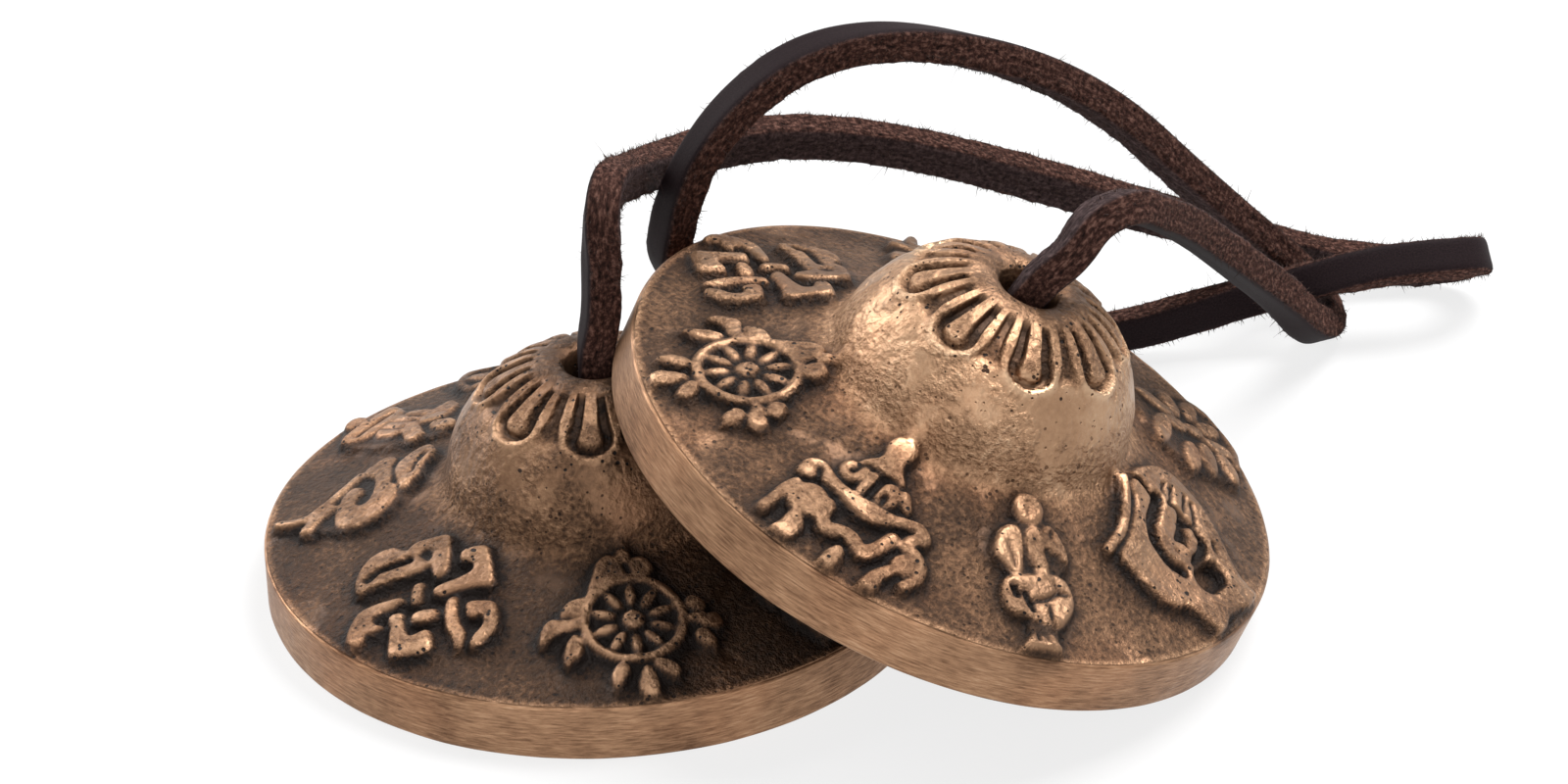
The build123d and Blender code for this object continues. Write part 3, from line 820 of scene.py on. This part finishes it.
# %% The vase
def vase():
    """A jewel, three leaves over the neck, a belly with a crossed scarf, and a foot."""
    return [
        bead(-0.1, 17.3, 2.7, 2.8),
        groove(0.3, (-0.3, 16.6), (-0.2, 17.9), depth=0.35),
        # the neck, and three leaves over it
        patch((-4.0, 22.4), (-3.4, 19.8), (-1.2, 18.4), (1.8, 18.2), (3.3, 20.8), (3.2, 22.4), (1.4, 24.0),
              (-2.4, 24.4), level=0.65),
        patch((-4.1, 22.2), (-3.8, 20.8), (-3.1, 19.6), (-2.2, 19.1), (-1.3, 19.2), (-1.2, 20.6),
              (-1.5, 22.0), (-1.8, 23.9), (-2.7, 23.9), (-3.3, 22.7)),
        patch((-0.8, 20.6), (-0.6, 19.4), (0.2, 18.9), (0.8, 19.2), (1.0, 20.4), (0.7, 21.4), (1.0, 22.6),
              (0.9, 24.0), (-0.1, 23.8), (-0.6, 22.0)),
        patch((1.1, 19.0), (2.0, 18.6), (2.5, 19.4), (3.2, 20.8), (3.2, 22.2), (2.5, 21.6), (1.6, 21.3),
              (1.1, 20.6)),
        groove(0.35, (2.0, 19.0), (1.8, 19.8), depth=0.7),
        groove(0.35, (-2.6, 21.0), (-2.3, 22.4), (-2.3, 23.4), depth=0.4),
        # the belly and its crossed scarf
        patch((-3.9, 27.0), (-3.8, 25.4), (-3.0, 24.3), (-1.6, 24.1), (0.0, 23.9), (1.6, 23.7), (2.6, 24.0),
              (3.1, 25.2), (3.1, 26.4), (2.4, 27.8), (1.2, 29.2), (0.5, 29.4), (-0.6, 28.9), (-1.6, 28.4),
              (-2.8, 28.1), (-3.5, 27.8)),
        groove(0.7, (-2.8, 25.4), (-2.6, 26.2), depth=0.9),
        groove(0.5, (-1.8, 25.9), (-1.6, 26.8), (-1.2, 27.7), depth=0.8),
        groove(0.35, (-1.4, 26.9), (0.3, 26.5), (1.6, 25.5), (2.7, 25.6), depth=0.6),
        groove(0.35, (0.4, 29.2), (0.5, 27.9), (0.6, 26.9), depth=0.6),
        groove(0.3, (1.4, 24.6), (1.7, 25.3), depth=0.5),
        # the foot
        patch((-1.6, 28.0), (1.0, 28.6), (0.8, 30.8), (-1.8, 30.8), level=0.7),
        patch((-2.9, 32.4), (-2.5, 31.3), (-1.5, 30.1), (-0.9, 30.4), (-0.4, 30.1), (0.3, 30.2), (0.9, 31.4),
              (0.9, 32.4)),
        groove(0.35, (-1.2, 30.2), (-1.3, 30.9), depth=0.7),
        groove(0.35, (-0.5, 30.2), (-0.5, 30.9), depth=0.7),
    ]


# %% The conch and the lotus
def conch():
    """A shell with a curled tongue in its mouth, ribs and a hole."""
    return [
        patch((-8.4, 20.2), (-5.6, 19.8), (-3.2, 18.9), (-1.0, 17.9), (0.0, 16.4), (1.0, 16.6), (1.7, 16.0),
              (3.4, 16.1), (6.0, 16.8), (7.5, 18.2), (7.8, 20.6), (7.6, 22.8), (6.4, 25.2), (4.6, 27.4),
              (3.4, 29.2), (3.0, 32.4), (-5.2, 32.4), (-5.4, 29.6), (-6.0, 27.4), (-7.3, 27.0), (-8.3, 25.6),
              (-8.3, 22.8)),
        stroke(0.7, (-8.6, 19.1), (-5.8, 18.9), (-3.2, 17.9), (-1.2, 16.6), (-0.2, 15.6)),
        # the mouth, with a curled tongue in it
        groove(0.6, (1.5, 16.4), (1.7, 17.6), (1.4, 18.6), depth=1.0),
        groove(1.2, (-3.0, 25.2), (-3.6, 23.6), (-3.0, 21.4), (-1.6, 20.2), (0.4, 19.6), (2.0, 19.0),
               depth=1.1),
        groove(2.6, (-1.4, 23.4), (0.6, 22.6), (2.2, 21.6), depth=1.1),
        groove(1.0, (-0.6, 25.4), (1.4, 25.4), (3.2, 24.6), (3.2, 22.4), (3.0, 20.4), depth=1.0),
        stroke(1.1, (2.4, 20.8), (0.8, 21.6), (-1.2, 22.2), (-2.3, 23.2), (-2.0, 24.4), (-0.9, 24.6),
               (-0.3, 23.9), (-0.7, 23.4)),
        stroke(0.8, (1.0, 24.3), (1.9, 23.7), (2.5, 23.2)),
        # ribs and the hole for a string
        groove(0.4, (4.0, 23.1), (5.4, 22.2), (6.2, 21.5), depth=0.6),
        groove(0.4, (4.2, 21.5), (6.2, 20.6), depth=0.6),
        groove(0.4, (3.6, 20.0), (5.2, 19.2), depth=0.6),
        groove(0.4, (3.4, 18.9), (4.6, 18.4), depth=0.5),
        groove(0.5, (3.6, 26.0), (4.4, 25.4), depth=0.5),
        groove(2.8, (-1.1, 27.3), (0.6, 27.4), depth=1.3),
        groove(0.6, (-4.0, 31.9), (-2.6, 31.3), (-0.6, 31.5), (0.8, 32.0), depth=0.6),
    ]


def lotus():
    """Ovals for petals, on a low base inside a rim."""
    petals_of = [
        (0.2, 23.8, 1.9, 2.8, 0), (0.2, 26.3, 1.7, 2.5, 0), (-4.6, 23.3, 2.0, 4.8, -60),
        (-1.6, 20.9, 1.8, 5.4, -55), (-4.0, 25.9, 1.8, 4.6, -73), (-4.5, 28.3, 1.7, 3.8, 90),
        (-1.5, 28.7, 1.8, 3.0, 25), (1.3, 29.0, 2.1, 3.0, -20), (3.8, 28.0, 1.9, 3.6, -60),
        (3.9, 25.4, 1.8, 3.8, -80), (2.9, 22.6, 1.8, 4.2, 35),
    ]
    rim = stroke(0.8, (-3.6, 30.2), (-0.8, 31.4), (2.4, 31.8), (5.2, 30.8), (6.6, 28.2), (6.2, 25.8),
                 level=0.8)
    base = patch((-6.6, 23.2), (-3.8, 19.4), (0.4, 18.8), (4.6, 20.8), (6.8, 25.0), (6.4, 28.6), (2.6, 31.4),
                 (-3.6, 30.2), (-6.4, 28.2), level=0.55)
    return [base, rim] + [bead(*petal) for petal in petals_of]


# %% The banner and the fish
def banner():
    """Drapes in tiers on a low base, with a bead at each end."""
    return [
        patch((-3.4, 18.6), (2.4, 17.8), (4.4, 21.6), (5.8, 28.6), (2.2, 31.2), (-3.0, 30.0), (-5.8, 24.2),
              (-5.0, 20.8), level=0.6),
        bead(0.6, 19.3, 2.0, 2.6),
        stroke(1.7, (1.4, 23.0), (3.2, 20.6)),
        patch((-5.6, 23.8), (-1.4, 23.4), (1.0, 22.2), (-1.0, 20.6), (-4.4, 21.4)),
        patch((-2.6, 26.4), (3.6, 26.2), (3.2, 23.0), (-3.0, 23.2)),
        groove(0.4, (-1.2, 23.4), (-1.2, 26.0), depth=0.4),
        groove(0.4, (0.3, 23.4), (0.4, 26.0), depth=0.4),
        groove(0.4, (1.8, 23.4), (2.0, 26.0), depth=0.4),
        patch((-3.2, 29.6), (5.6, 29.3), (4.1, 26.4), (-2.1, 26.6)),
        groove(0.5, (-1.8, 28.0), (4.0, 27.8), depth=0.35),
        bead(1.2, 30.4, 2.4, 2.0),
    ]


def fish():
    """Raised details on a low body, with strokes at its tail."""
    return [
        # the whole body, low, under its details
        patch((-4.7, 20.8), (-4.4, 18.2), (0.4, 17.6), (3.2, 18.2), (5.4, 19.4), (7.2, 21.6), (7.4, 23.6),
              (6.0, 26.4), (4.2, 28.4), (2.4, 26.4), (0.0, 25.0), (-2.4, 23.2), level=0.6),
        patch((0.6, 21.0), (1.6, 19.2), (3.6, 18.9), (5.8, 20.2), (7.2, 22.4), (6.4, 24.4), (5.0, 22.8),
              (3.2, 21.4), level=0.95),
        patch((-4.9, 17.4), (-4.5, 16.7), (-3.2, 16.2), (-2.4, 16.4), (-1.6, 16.9), (-0.4, 17.2), (0.8, 17.2),
              (3.0, 18.4), (1.2, 19.1), (-1.0, 19.7), (-2.6, 19.6), (-3.8, 18.8)),
        groove(0.4, (-3.0, 17.0), (-1.4, 17.8), (0.2, 18.0), depth=0.5),
        patch((-4.5, 20.6), (-4.2, 21.8), (-3.2, 22.8), (-2.2, 23.1), (-1.2, 22.3), (-0.6, 21.5), (1.6, 21.3),
              (3.4, 21.6), (3.9, 22.4), (3.4, 23.1), (2.4, 23.0), (1.4, 22.5), (0.5, 22.9), (0.2, 23.8),
              (1.4, 24.6), (3.0, 24.8), (4.8, 24.8), (6.4, 24.3), (7.1, 23.2), (6.2, 21.9), (4.8, 20.9),
              (3.2, 20.2), (1.4, 19.9), (-1.0, 20.2), (-2.6, 20.4), (-3.6, 20.1)),
        stroke(0.9, (-2.0, 23.4), (0.6, 25.2), (2.6, 26.6), (4.0, 27.6), (4.3, 29.0), (3.9, 30.6)),
        stroke(1.1, (2.8, 25.6), (4.4, 26.7), (6.0, 27.5)),
    ]


# %% Where each symbol stands
# Degrees round from the endless knot
symbols = [
    (endless_knot, 0.0), (wheel, 50.0), (parasol, 100.2), (vase, 141.6),
    (conch, 189.1), (lotus, 240.4), (banner, 274.6), (fish, 307.2),
]
symbol_half_turn = math.radians(38)
symbol_from = 14.5
symbol_to = disc_r - 0.4
fade_from = disc_r - 0.85
fade_to = disc_r - 0.45
deepest_cut = -1.6


def relief(r, turn, shifts):
    """Height of the symbols at each radius and angle, measured from the endless knot. shifts are degrees by
    which a symbol of this casting stands off its usual place."""
    height = np.zeros(r.shape)
    for shapes, place in symbols:
        at = math.radians(place + shifts.get(shapes, 0.0))
        away = (turn - at + math.pi) % (2 * math.pi) - math.pi
        near = (np.abs(away) < symbol_half_turn) & (r > symbol_from) & (r < symbol_to)
        u = (r * np.sin(away))[near]
        v = (r * np.cos(away))[near]
        here = np.zeros(u.shape)
        for shape in shapes():
            tall = shape(u, v)
            cut = tall.min() < 0
            here = here + tall if cut else np.maximum(here, tall)
        height[near] = np.where(here < 0, np.maximum(here, deepest_cut), np.maximum(height[near], here))
    return relief_h * height * ease(fade_to, fade_from, r)


print("%d symbols" % len(symbols))

# %% [markdown]
# ## Petals
#
# Round the crown runs a ring of lotus petals: each is a raised U with a tongue inside it, and a notch divides
# it from the next. All of that follows from one number that grows from the tongue's middle outwards.

# %% Petals round the dome
petal_count = 8
petal_turn = math.radians(-4.0)
# Millimetres along the profile from the bore: where petals begin, where their lines start to close and how
# far that takes, where notches run out, and where nothing is left
petals_from = (2.9, 4.1)
petal_bend = 6.0
petal_stretch = 5.0
notch_to = (9.4, 7.6)
petals_end = 15
# Shares of a petal's half width between which each edge rises or falls
tongue_edge = (0.19, 0.28)
slit_edge = (0.55, 0.46)
ridge_inside = (0.48, 0.56)
ridge_outside = (0.96, 0.84)
notch_edge = (0.80, 0.90)
# At the round end the ridge's inside and the tongue's edge lie further out, and the ridge stands higher
end_from = (0.0, 0.6)
ridge_shift = 0.22
tongue_shift = 0.36
ridge_end_rise = 0.14
# Heights and depths elsewhere
ridge_rise = 0.06
slit_depth = 0.75
notch_depth = 0.5


def petals(s, turn):
    """Height of the petals, from the way s down the dome. Across a petal p runs from -1 to 1. Below
    petal_bend its lines close in half ellipses, and q is the share of the half width where each starts."""
    share = 2 * math.pi / petal_count
    p = ((turn - petal_turn + share / 2) % share - share / 2) / (share / 2)
    below = np.clip(s - petal_bend, 0, None) / petal_stretch
    q = np.hypot(p, below)
    gate = ease(*petals_from, s)
    low = ease(*end_from, below)
    inner = q - ridge_shift * low
    ridge = ease(*ridge_inside, inner) * ease(*ridge_outside, q)
    slit = ease(*tongue_edge, q - tongue_shift * low) * ease(*slit_edge, inner)
    notch = ease(*notch_edge, q) * ease(*notch_to, s)
    return gate * ((ridge_rise + ridge_end_rise * low) * ridge - slit_depth * slit - notch_depth * notch)


# %% [markdown]
# ## From profile to cymbal
#
# The relief is added along the profile's own normal. Where the surface stands above its surroundings it has
# been rubbed bright, and where it lies below them the dark patina stayed. So the height less a blurred copy
# of it is part of the wear, a number that is kept with the points for the finish to read. That number also
# holds a painted highlight on the dome's flank.


# %% Normals and blurring
def profile_normals(line):
    """Normals of the closed profile in its plane: a quarter turn from the step between a point's two
    neighbours."""
    step = np.roll(line, -1, 0) - np.roll(line, 1, 0)
    return unit(np.stack([-step[:, 1], step[:, 0]], 1))


def blurred(height, width):
    """Height smoothed over a width in millimetres: round the axis by its harmonics, and along the profile
    by a weighted mean of rows."""
    harmonics = np.arange(columns // 2 + 1)
    fade = np.exp(-0.5 * (harmonics[None, :] * width / np.maximum(profile[:, :1], 1.0)) ** 2)
    round_axis = np.fft.irfft(np.fft.rfft(height, axis=1) * fade, n=columns, axis=1)
    weight = np.exp(-0.5 * ((row_s[:, None] - row_s[None, :]) / width) ** 2)
    return weight @ round_axis / weight.sum(1, keepdims=True)


# %% The grid of a cymbal
turns = np.linspace(0, 2 * np.pi, columns, endpoint=False)
row = np.arange(len(profile))
row_s = lengths_along(profile)
grid_r = np.repeat(profile[:, :1], columns, 1)
grid_turn = np.repeat(turns[None, :], len(profile), 0)
grid_s = np.repeat(row_s[:, None], columns, 1)
on_top = (row < len(top))[:, None]
on_rim = (row >= len(top)) & (row < len(profile) - len(under))
filed_rim = np.repeat(on_rim[:, None], columns, 1).astype(float)
dome_stands = np.where(on_top & (grid_s < petals_end), petals(grid_s, grid_turn), 0.0)
normals = profile_normals(profile)
# Outwards is upwards in the middle of the top
normals *= np.sign(normals[len(top) // 2, 1])
print("grid of %d by %d points" % grid_r.shape)

# %% What the finish reads
plain_wear = 0.5
halo_width = 0.9
relief_width = 0.6
petal_width = 0.8
pits_everywhere = 0.4
plain_smooth = 0.25
# Radii between which a zone begins or ends
crown_to = (10.0, 8.5)
flank_from = (9.6, 11.2)
flank_to = (17.5, 14.5)
smooth_flank_to = (14.6, 13.0)
pits_to = (13.5, 11.5)
plate_from = (14.5, 18.0)
rim_line_from = (31.5, 32.1)


def finish_values(raised, tops, darkening):
    """What the finish reads at each point: how worn the metal is, about 0.5 on plain metal, with a painted
    highlight added on the dome's flank, then where the rim is filed, where there are pits, and how smooth the
    metal is. Wear with its painted highlight, and smoothness, are sums of zones with weights."""
    halo = blurred(tops, halo_width) * (1 - tops)
    flank = ease(*flank_from, grid_r) * on_top
    rubbed_and_sheen = plain_wear - darkening * (1 - filed_rim)
    for weight, zone in (
        (0.05 + 0.7 * darkening, tops),
        (-0.7, halo),
        (-0.08, ease(*plate_from, grid_r) * (1 - tops) * on_top),
        (0.16, filed_rim),
        # the dome's flank is made paler partly for burnished metal and partly as a painted highlight, more so
        # on a casting that is less darkened
        (0.22 - 1.2 * darkening, flank * ease(*flank_to, grid_r)),
        (0.2, ease(*rim_line_from, grid_r) * on_top),
        (0.15, raised - blurred(raised, relief_width)),
        (0.5, dome_stands - blurred(dome_stands, petal_width)),
    ):
        rubbed_and_sheen = rubbed_and_sheen + weight * zone
    pits = np.clip(ease(*pits_to, grid_r) + tops + pits_everywhere, 0, 1) * (1 - filed_rim)
    even = plain_smooth + 0.45 * flank * ease(*smooth_flank_to, grid_r) + 0.3 * tops
    even += 0.3 * ease(*crown_to, grid_r) - 0.3 * halo
    grids = {"wear": rubbed_and_sheen, "filed": filed_rim, "pitted": pits, "smooth": even}
    return {key: grid.ravel() for key, grid in grids.items()}


# %% The two castings
left_turn = 227.6
right_turn = 153.2
relief_blur = 0.14
# Shares of the relief's height between which its tops begin
tops_from = (0.4, 0.95)
# Unevenness of the casting: none at the lip, full further out, and less underneath
wide_waves = 0.05
small_waves = 0.02
under_share = 0.3
even_lip_to = (4.0, 6.0)


def cymbal_piece(name, hole, axis, turn_deg, seed, shifts, darkening):
    """One casting in its place: the profile turned about the axis with its relief and a little unevenness.
    darkening is how much darker than usual its metal is made: less so on its tops, not at all on the filed
    rim, and more on the dome's flank."""
    raised = blurred(np.where(on_top, relief(grid_r, grid_turn, shifts), 0.0), relief_blur)
    tops = ease(*tops_from, raised / relief_h)
    uneven = np.random.default_rng(seed)
    waves = wide_waves * wander(uneven, len(profile), columns, row_cell=12, column_cell=16)
    waves += small_waves * wander(uneven, len(profile), columns, row_cell=4, column_cell=5)
    height = dome_stands + raised + np.where(on_top, waves, under_share * waves) * ease(*even_lip_to, grid_r)
    r = grid_r + height * normals[:, :1]
    z = profile[:, 1:] + height * normals[:, 1:]
    own = np.stack([r * np.cos(grid_turn), r * np.sin(grid_turn), z], -1).reshape(-1, 3)
    base = hole - axis * pivot_z * MM
    points = own @ own_frame(axis, turn_deg).T * MM + base
    values = finish_values(raised, tops, darkening)
    values["own"] = own
    return make_piece(name, points, grid_quads(len(profile), columns, ring=True), values=values)


# The left casting is made darker than the right, and its dome's flank gets less of the painted highlight
left_cymbal = cymbal_piece("left_cymbal_cast", left_hole, left_axis, left_turn, seed=11,
                           shifts={}, darkening=0.10)
right_cymbal = cymbal_piece("right_cymbal_cast", right_hole, right_axis, right_turn, seed=12,
                            shifts={endless_knot: 3.0}, darkening=0.0)

# %% [markdown]
# ## Helpers for finishes
#
# A finish is a node tree, but it reads best as sums: darkness equals wear plus a little noise. So one class
# stands for a socket and turns Python's operators into Math nodes, and one method adds every other node.


# %% Amounts
class Amount:
    """A number that changes over a surface: one socket. Arithmetic on it adds Math nodes."""

    def __init__(self, finish, socket):
        self.finish = finish
        self.socket = socket

    def math(self, operation, first, second):
        """One Math node on two amounts or numbers."""
        return self.finish.node("ShaderNodeMath", {"operation": operation}, {0: first, 1: second})

    def __add__(self, other):
        return self.math("ADD", self, other)

    def __sub__(self, other):
        return self.math("SUBTRACT", self, other)

    def __rsub__(self, other):
        return self.math("SUBTRACT", other, self)

    def __mul__(self, other):
        return self.math("MULTIPLY", self, other)

    def eased(self, low, high):
        """0 below low, 1 above high and smooth between. It falls if low is the larger."""
        settings = {"interpolation_type": "SMOOTHSTEP", "clamp": True}
        if low < high:
            return self.finish.node("ShaderNodeMapRange", settings, {"Value": self, 1: low, 2: high})
        return 1 - self.finish.node("ShaderNodeMapRange", settings, {"Value": self, 1: high, 2: low})


# %% Finishes
class Finish:
    """A material, or the world, that is being put together."""

    def __init__(self, name, kind="materials", surface="Principled BSDF"):
        self.material = getattr(bpy.data, kind).new(name)
        self.material.use_nodes = True
        self.tree = self.material.node_tree
        self.surface = self.tree.nodes[surface]

    def put(self, socket, value):
        """Link a socket to an amount, or set it to a plain value."""
        if isinstance(value, Amount):
            self.tree.links.new(value.socket, socket)
        else:
            socket.default_value = value

    def node(self, kind, settings=None, inputs=None, output=0):
        """Add a node, set it up, fill its sockets, and give one of its outputs."""
        made = self.tree.nodes.new(kind)
        for key, value in (settings or {}).items():
            if key == "stops":
                for stop, (place, colour) in zip(self.stops(made, len(value)), value):
                    stop.position = place
                    stop.color = (*colour, 1)
            else:
                setattr(made, key, value)
        for key, value in (inputs or {}).items():
            self.put(made.inputs[key], value)
        return Amount(self, made.outputs[output])

    def stops(self, ramp, count):
        """As many stops as a ramp needs."""
        while len(ramp.color_ramp.elements) < count:
            ramp.color_ramp.elements.new(1.0)
        return ramp.color_ramp.elements

    def ramp(self, amount, *stops):
        """A colour by an amount, from (place, colour) stops."""
        return self.node("ShaderNodeValToRGB", {"stops": stops}, {"Fac": amount})

    def point_value(self, name, output="Fac"):
        """A number or vector that is kept with the points."""
        return self.node("ShaderNodeAttribute", {"attribute_name": name}, output=output)

    def noise(self, vector, scale, detail=2.0, roughness=0.5):
        """Soft random spots, about 0.5 on average."""
        inputs = {"Vector": vector, "Scale": scale, "Detail": detail, "Roughness": roughness}
        return self.node("ShaderNodeTexNoise", None, inputs)

    def stretched(self, vector, factors):
        """A vector times one factor for each direction, for noise that is drawn out."""
        return self.node("ShaderNodeVectorMath", {"operation": "MULTIPLY"}, {0: vector, 1: factors})

    def blend(self, share, first, second):
        """A colour between two others."""
        return self.node("ShaderNodeMix", {"data_type": "RGBA"}, {0: share, 6: first, 7: second}, output=2)

    def bump(self, height, depth, strength=1.0):
        """Normals tilted as if the surface stood up by height times depth."""
        inputs = {"Height": height, "Distance": depth, "Strength": strength}
        return self.node("ShaderNodeBump", None, inputs)

    def finish(self, **inputs):
        """Fill the surface's sockets by their names, with _ for a space."""
        for key, value in inputs.items():
            self.put(self.surface.inputs[key.replace("_", " ")], value)
        return self.material


# %% [markdown]
# ## Bronze
#
# Old cast bronze is brown and dark in its recesses, and rubbed to a paler metal on high places and on the
# filed rim. One number, the level of wear with a painted highlight on the dome's flank, gives colour, gloss
# and how metallic it is. Noise breaks it up: wide blotches, casting grain as fine as sand, small pits, and
# streaks round the rim where it was filed.

# %% Bronze finish
bronze = Finish("bronze")
own = bronze.point_value("own", "Vector")
wear = bronze.point_value("wear")
filed = bronze.point_value("filed")
pitted = bronze.point_value("pitted")
smooth = bronze.point_value("smooth")
blotch = bronze.noise(own, scale=0.13, detail=3.0)
hue = bronze.noise(own, scale=0.10)
polish = (bronze.noise(own, scale=0.22, detail=3.0) + (smooth - 0.4) * 0.35).eased(0.48, 0.64)
grain = bronze.noise(own, scale=1.8, detail=4.0, roughness=0.6)
streak = bronze.noise(bronze.stretched(own, (0.55, 0.55, 5.5)), scale=1.0, detail=4.0, roughness=0.65)
pit_place = bronze.node("ShaderNodeTexVoronoi", {"feature": "F1"}, {"Vector": own, "Scale": 1.35})
pit_size = bronze.noise(own, scale=0.7, detail=1.0)
pits = (pit_place + (0.54 - pit_size) * 0.9).eased(0.18, 0.09) * pitted
cast = (1 - filed) * (1 - polish * 0.7)
# level: wear with a painted highlight on the dome's flank, broken up by noise
level = (wear + (blotch - 0.5) * 0.42 + (grain - 0.5) * cast * 0.65 + (streak - 0.5) * filed * 0.7
         + polish * (1 - filed) * 0.05 - pits * 0.5)
brown = bronze.ramp(
    level, (0.10, (0.010, 0.0056, 0.004)), (0.36, (0.060, 0.0325, 0.019)), (0.52, (0.165, 0.090, 0.0505)),
    (0.72, (0.36, 0.213, 0.124)), (1.0, (0.62, 0.427, 0.275)))
coppery = bronze.ramp(
    level, (0.10, (0.011, 0.005, 0.0035)), (0.36, (0.070, 0.0305, 0.0155)), (0.52, (0.20, 0.089, 0.045)),
    (0.72, (0.41, 0.204, 0.106)), (1.0, (0.64, 0.385, 0.23)))
bronze_relief = grain * cast + streak * filed * 0.12 - pits * 0.4
bronze_finish = bronze.finish(
    Base_Color=bronze.blend(hue.eased(0.48, 0.72) * 0.3 + filed * 0.2, brown, coppery),
    Metallic=(level * 0.5 + 0.48).eased(0.0, 1.0),
    Roughness=0.56 - level.eased(0.2, 1.0) * 0.18 - polish * 0.1,
    Specular_IOR_Level=0.3,
    Normal=bronze.bump(bronze_relief, depth=0.5 * MM),
)
print("bronze: %d nodes" % len(bronze.tree.nodes))

# %% [markdown]
# ## Leather
#
# The grain side is dyed almost black and has a soft shine. The flesh side and the edges are brown, dull and
# fibrous, with fibres that run along the strip, so their noise is stretched along the thong's own length.

# %% Leather finish
leather = Finish("leather")
grain_side = leather.point_value("grain_side")
cut_side = leather.point_value("cut_side")
lay = leather.point_value("lay", "Vector")
strands = leather.noise(leather.stretched(lay, (0.9, 2.2, 1.0)), scale=1.0, detail=4.0, roughness=0.65)
tufts = leather.noise(lay, scale=1.9, detail=4.0, roughness=0.65)
pores = leather.noise(lay, scale=5.0)
fibre = strands * 0.4 + tufts * 0.6
edge_colour = leather.ramp(
    fibre, (0.38, (0.009, 0.005, 0.0045)), (0.50, (0.050, 0.023, 0.018)), (0.59, (0.145, 0.073, 0.056)),
    (0.72, (0.25, 0.145, 0.115)))
flesh_colour = leather.ramp(
    fibre, (0.36, (0.012, 0.009, 0.009)), (0.50, (0.047, 0.031, 0.031)), (0.62, (0.10, 0.068, 0.066)),
    (0.76, (0.21, 0.155, 0.15)))
dyed = leather.ramp(pores, (0.3, (0.009, 0.0055, 0.0065)), (0.75, (0.022, 0.0135, 0.0145)))
leather_relief = fibre * (1 - grain_side) * (cut_side * 0.7 + 0.6) + pores * grain_side * 0.08
leather_finish = leather.finish(
    Base_Color=leather.blend(grain_side, leather.blend(cut_side, flesh_colour, edge_colour), dyed),
    Roughness=0.9 - grain_side * 0.28,
    Specular_IOR_Level=0.05,
    Normal=leather.bump(leather_relief, depth=0.25 * MM, strength=0.8),
)
print("leather: %d nodes" % len(leather.tree.nodes))

fluff = Finish("leather_fibre")
fluff_finish = fluff.finish(Base_Color=(0.045, 0.021, 0.015, 1), Roughness=0.9)

# %% [markdown]
# ## Floor and light
#
# The pair lies on a white sheet under broad soft light. The floor and the world look white to the camera and
# in reflections, while less of their light falls on the metal, so that colours come out about as written.

# %% Floor
floor_half = 1.5
white_share = 0.8


def seen_white(finish):
    """How much white the camera sees, straight or mirrored. Other light gets none of it."""
    seen = finish.node("ShaderNodeLightPath", output="Is Camera Ray")
    mirrored = finish.node("ShaderNodeLightPath", output="Is Glossy Ray")
    return (seen + mirrored) * white_share


floor_mesh = bpy.data.meshes.new("floor")
floor_mesh.from_pydata([(-floor_half, -floor_half, 0), (floor_half, -floor_half, 0),
                        (floor_half, floor_half, 0), (-floor_half, floor_half, 0)], [], [(0, 1, 2, 3)])
floor = bpy.data.objects.new("floor", floor_mesh)
bpy.context.scene.collection.objects.link(floor)
paper = Finish("floor")
paper.finish(Base_Color=(0.9, 0.9, 0.9, 1), Roughness=0.8)
glow = paper.node("ShaderNodeEmission", None, {"Color": (1, 1, 1, 1), "Strength": 1.0})
plain = Amount(paper, paper.surface.outputs[0])
both = paper.node("ShaderNodeMixShader", None, {0: seen_white(paper), 1: plain, 2: glow})
paper.put(paper.tree.nodes["Material Output"].inputs["Surface"], both)
floor.data.materials.append(paper.material)
print("floor %.0f m wide" % (2 * floor_half))


# %% Lamps and world
def soft_box(name, place, aim, size, watts):
    """A square area lamp that faces a point."""
    lamp = bpy.data.lights.new(name, "AREA")
    lamp.size = size
    lamp.energy = watts
    holder = bpy.data.objects.new(name, lamp)
    holder.location = place
    back = unit(np.array(place) - np.array(aim))
    tilt = math.acos(back[2])
    holder.rotation_euler = (0, tilt, math.atan2(back[1], back[0]))
    bpy.context.scene.collection.objects.link(holder)
    print("%s lamp of %.1f W" % (name, watts))


centre = (0, 0, 0.02)
soft_box("key", (0.28, 0.22, 0.70), centre, size=0.4, watts=8.0)
soft_box("front", (-0.10, -0.70, 0.30), centre, size=0.6, watts=1.3)
soft_box("back", (-0.50, 0.45, 0.40), centre, size=0.4, watts=3.5)

sky_light = 0.2
sky = Finish("world", "worlds", "Background")
sky_finish = sky.finish(Color=(1, 1, 1, 1), Strength=seen_white(sky) + sky_light)
bpy.context.scene.world = sky_finish
bpy.context.scene.view_settings.view_transform = "Standard"

# %% [markdown]
# ## Joining looks to the solid model
#
# Each piece takes its finish, stands for its solid and moves with its body. The two short ends of the thong
# stay where they were made.

# %% Finishes and bodies
bronze_pieces = [left_cymbal, right_cymbal]
leather_pieces = [strap, left_end, right_end, left_knot, right_knot]
for piece in bronze_pieces:
    piece.data.materials.append(bronze_finish)
for piece in leather_pieces:
    piece.data.materials.append(leather_finish)
strap_fibres.data.materials.append(fluff_finish)

for piece, body in ((left_cymbal, "left_cymbal"), (right_cymbal, "right_cymbal"), (left_knot, "left_knot"),
                    (right_knot, "right_knot"), (strap, "strap"), (strap_fibres, "strap")):
    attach(piece, body)
low_bend = 2.5 * MM
left_hole + left_exit * low_bend
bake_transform(left_end)
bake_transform(right_end)
for piece, node in ((left_cymbal, "left_cymbal"), (right_cymbal, "right_cymbal"), (left_knot, "left_knot"),
                    (right_knot, "right_knot"), (strap, "strap")):
    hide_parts(node)
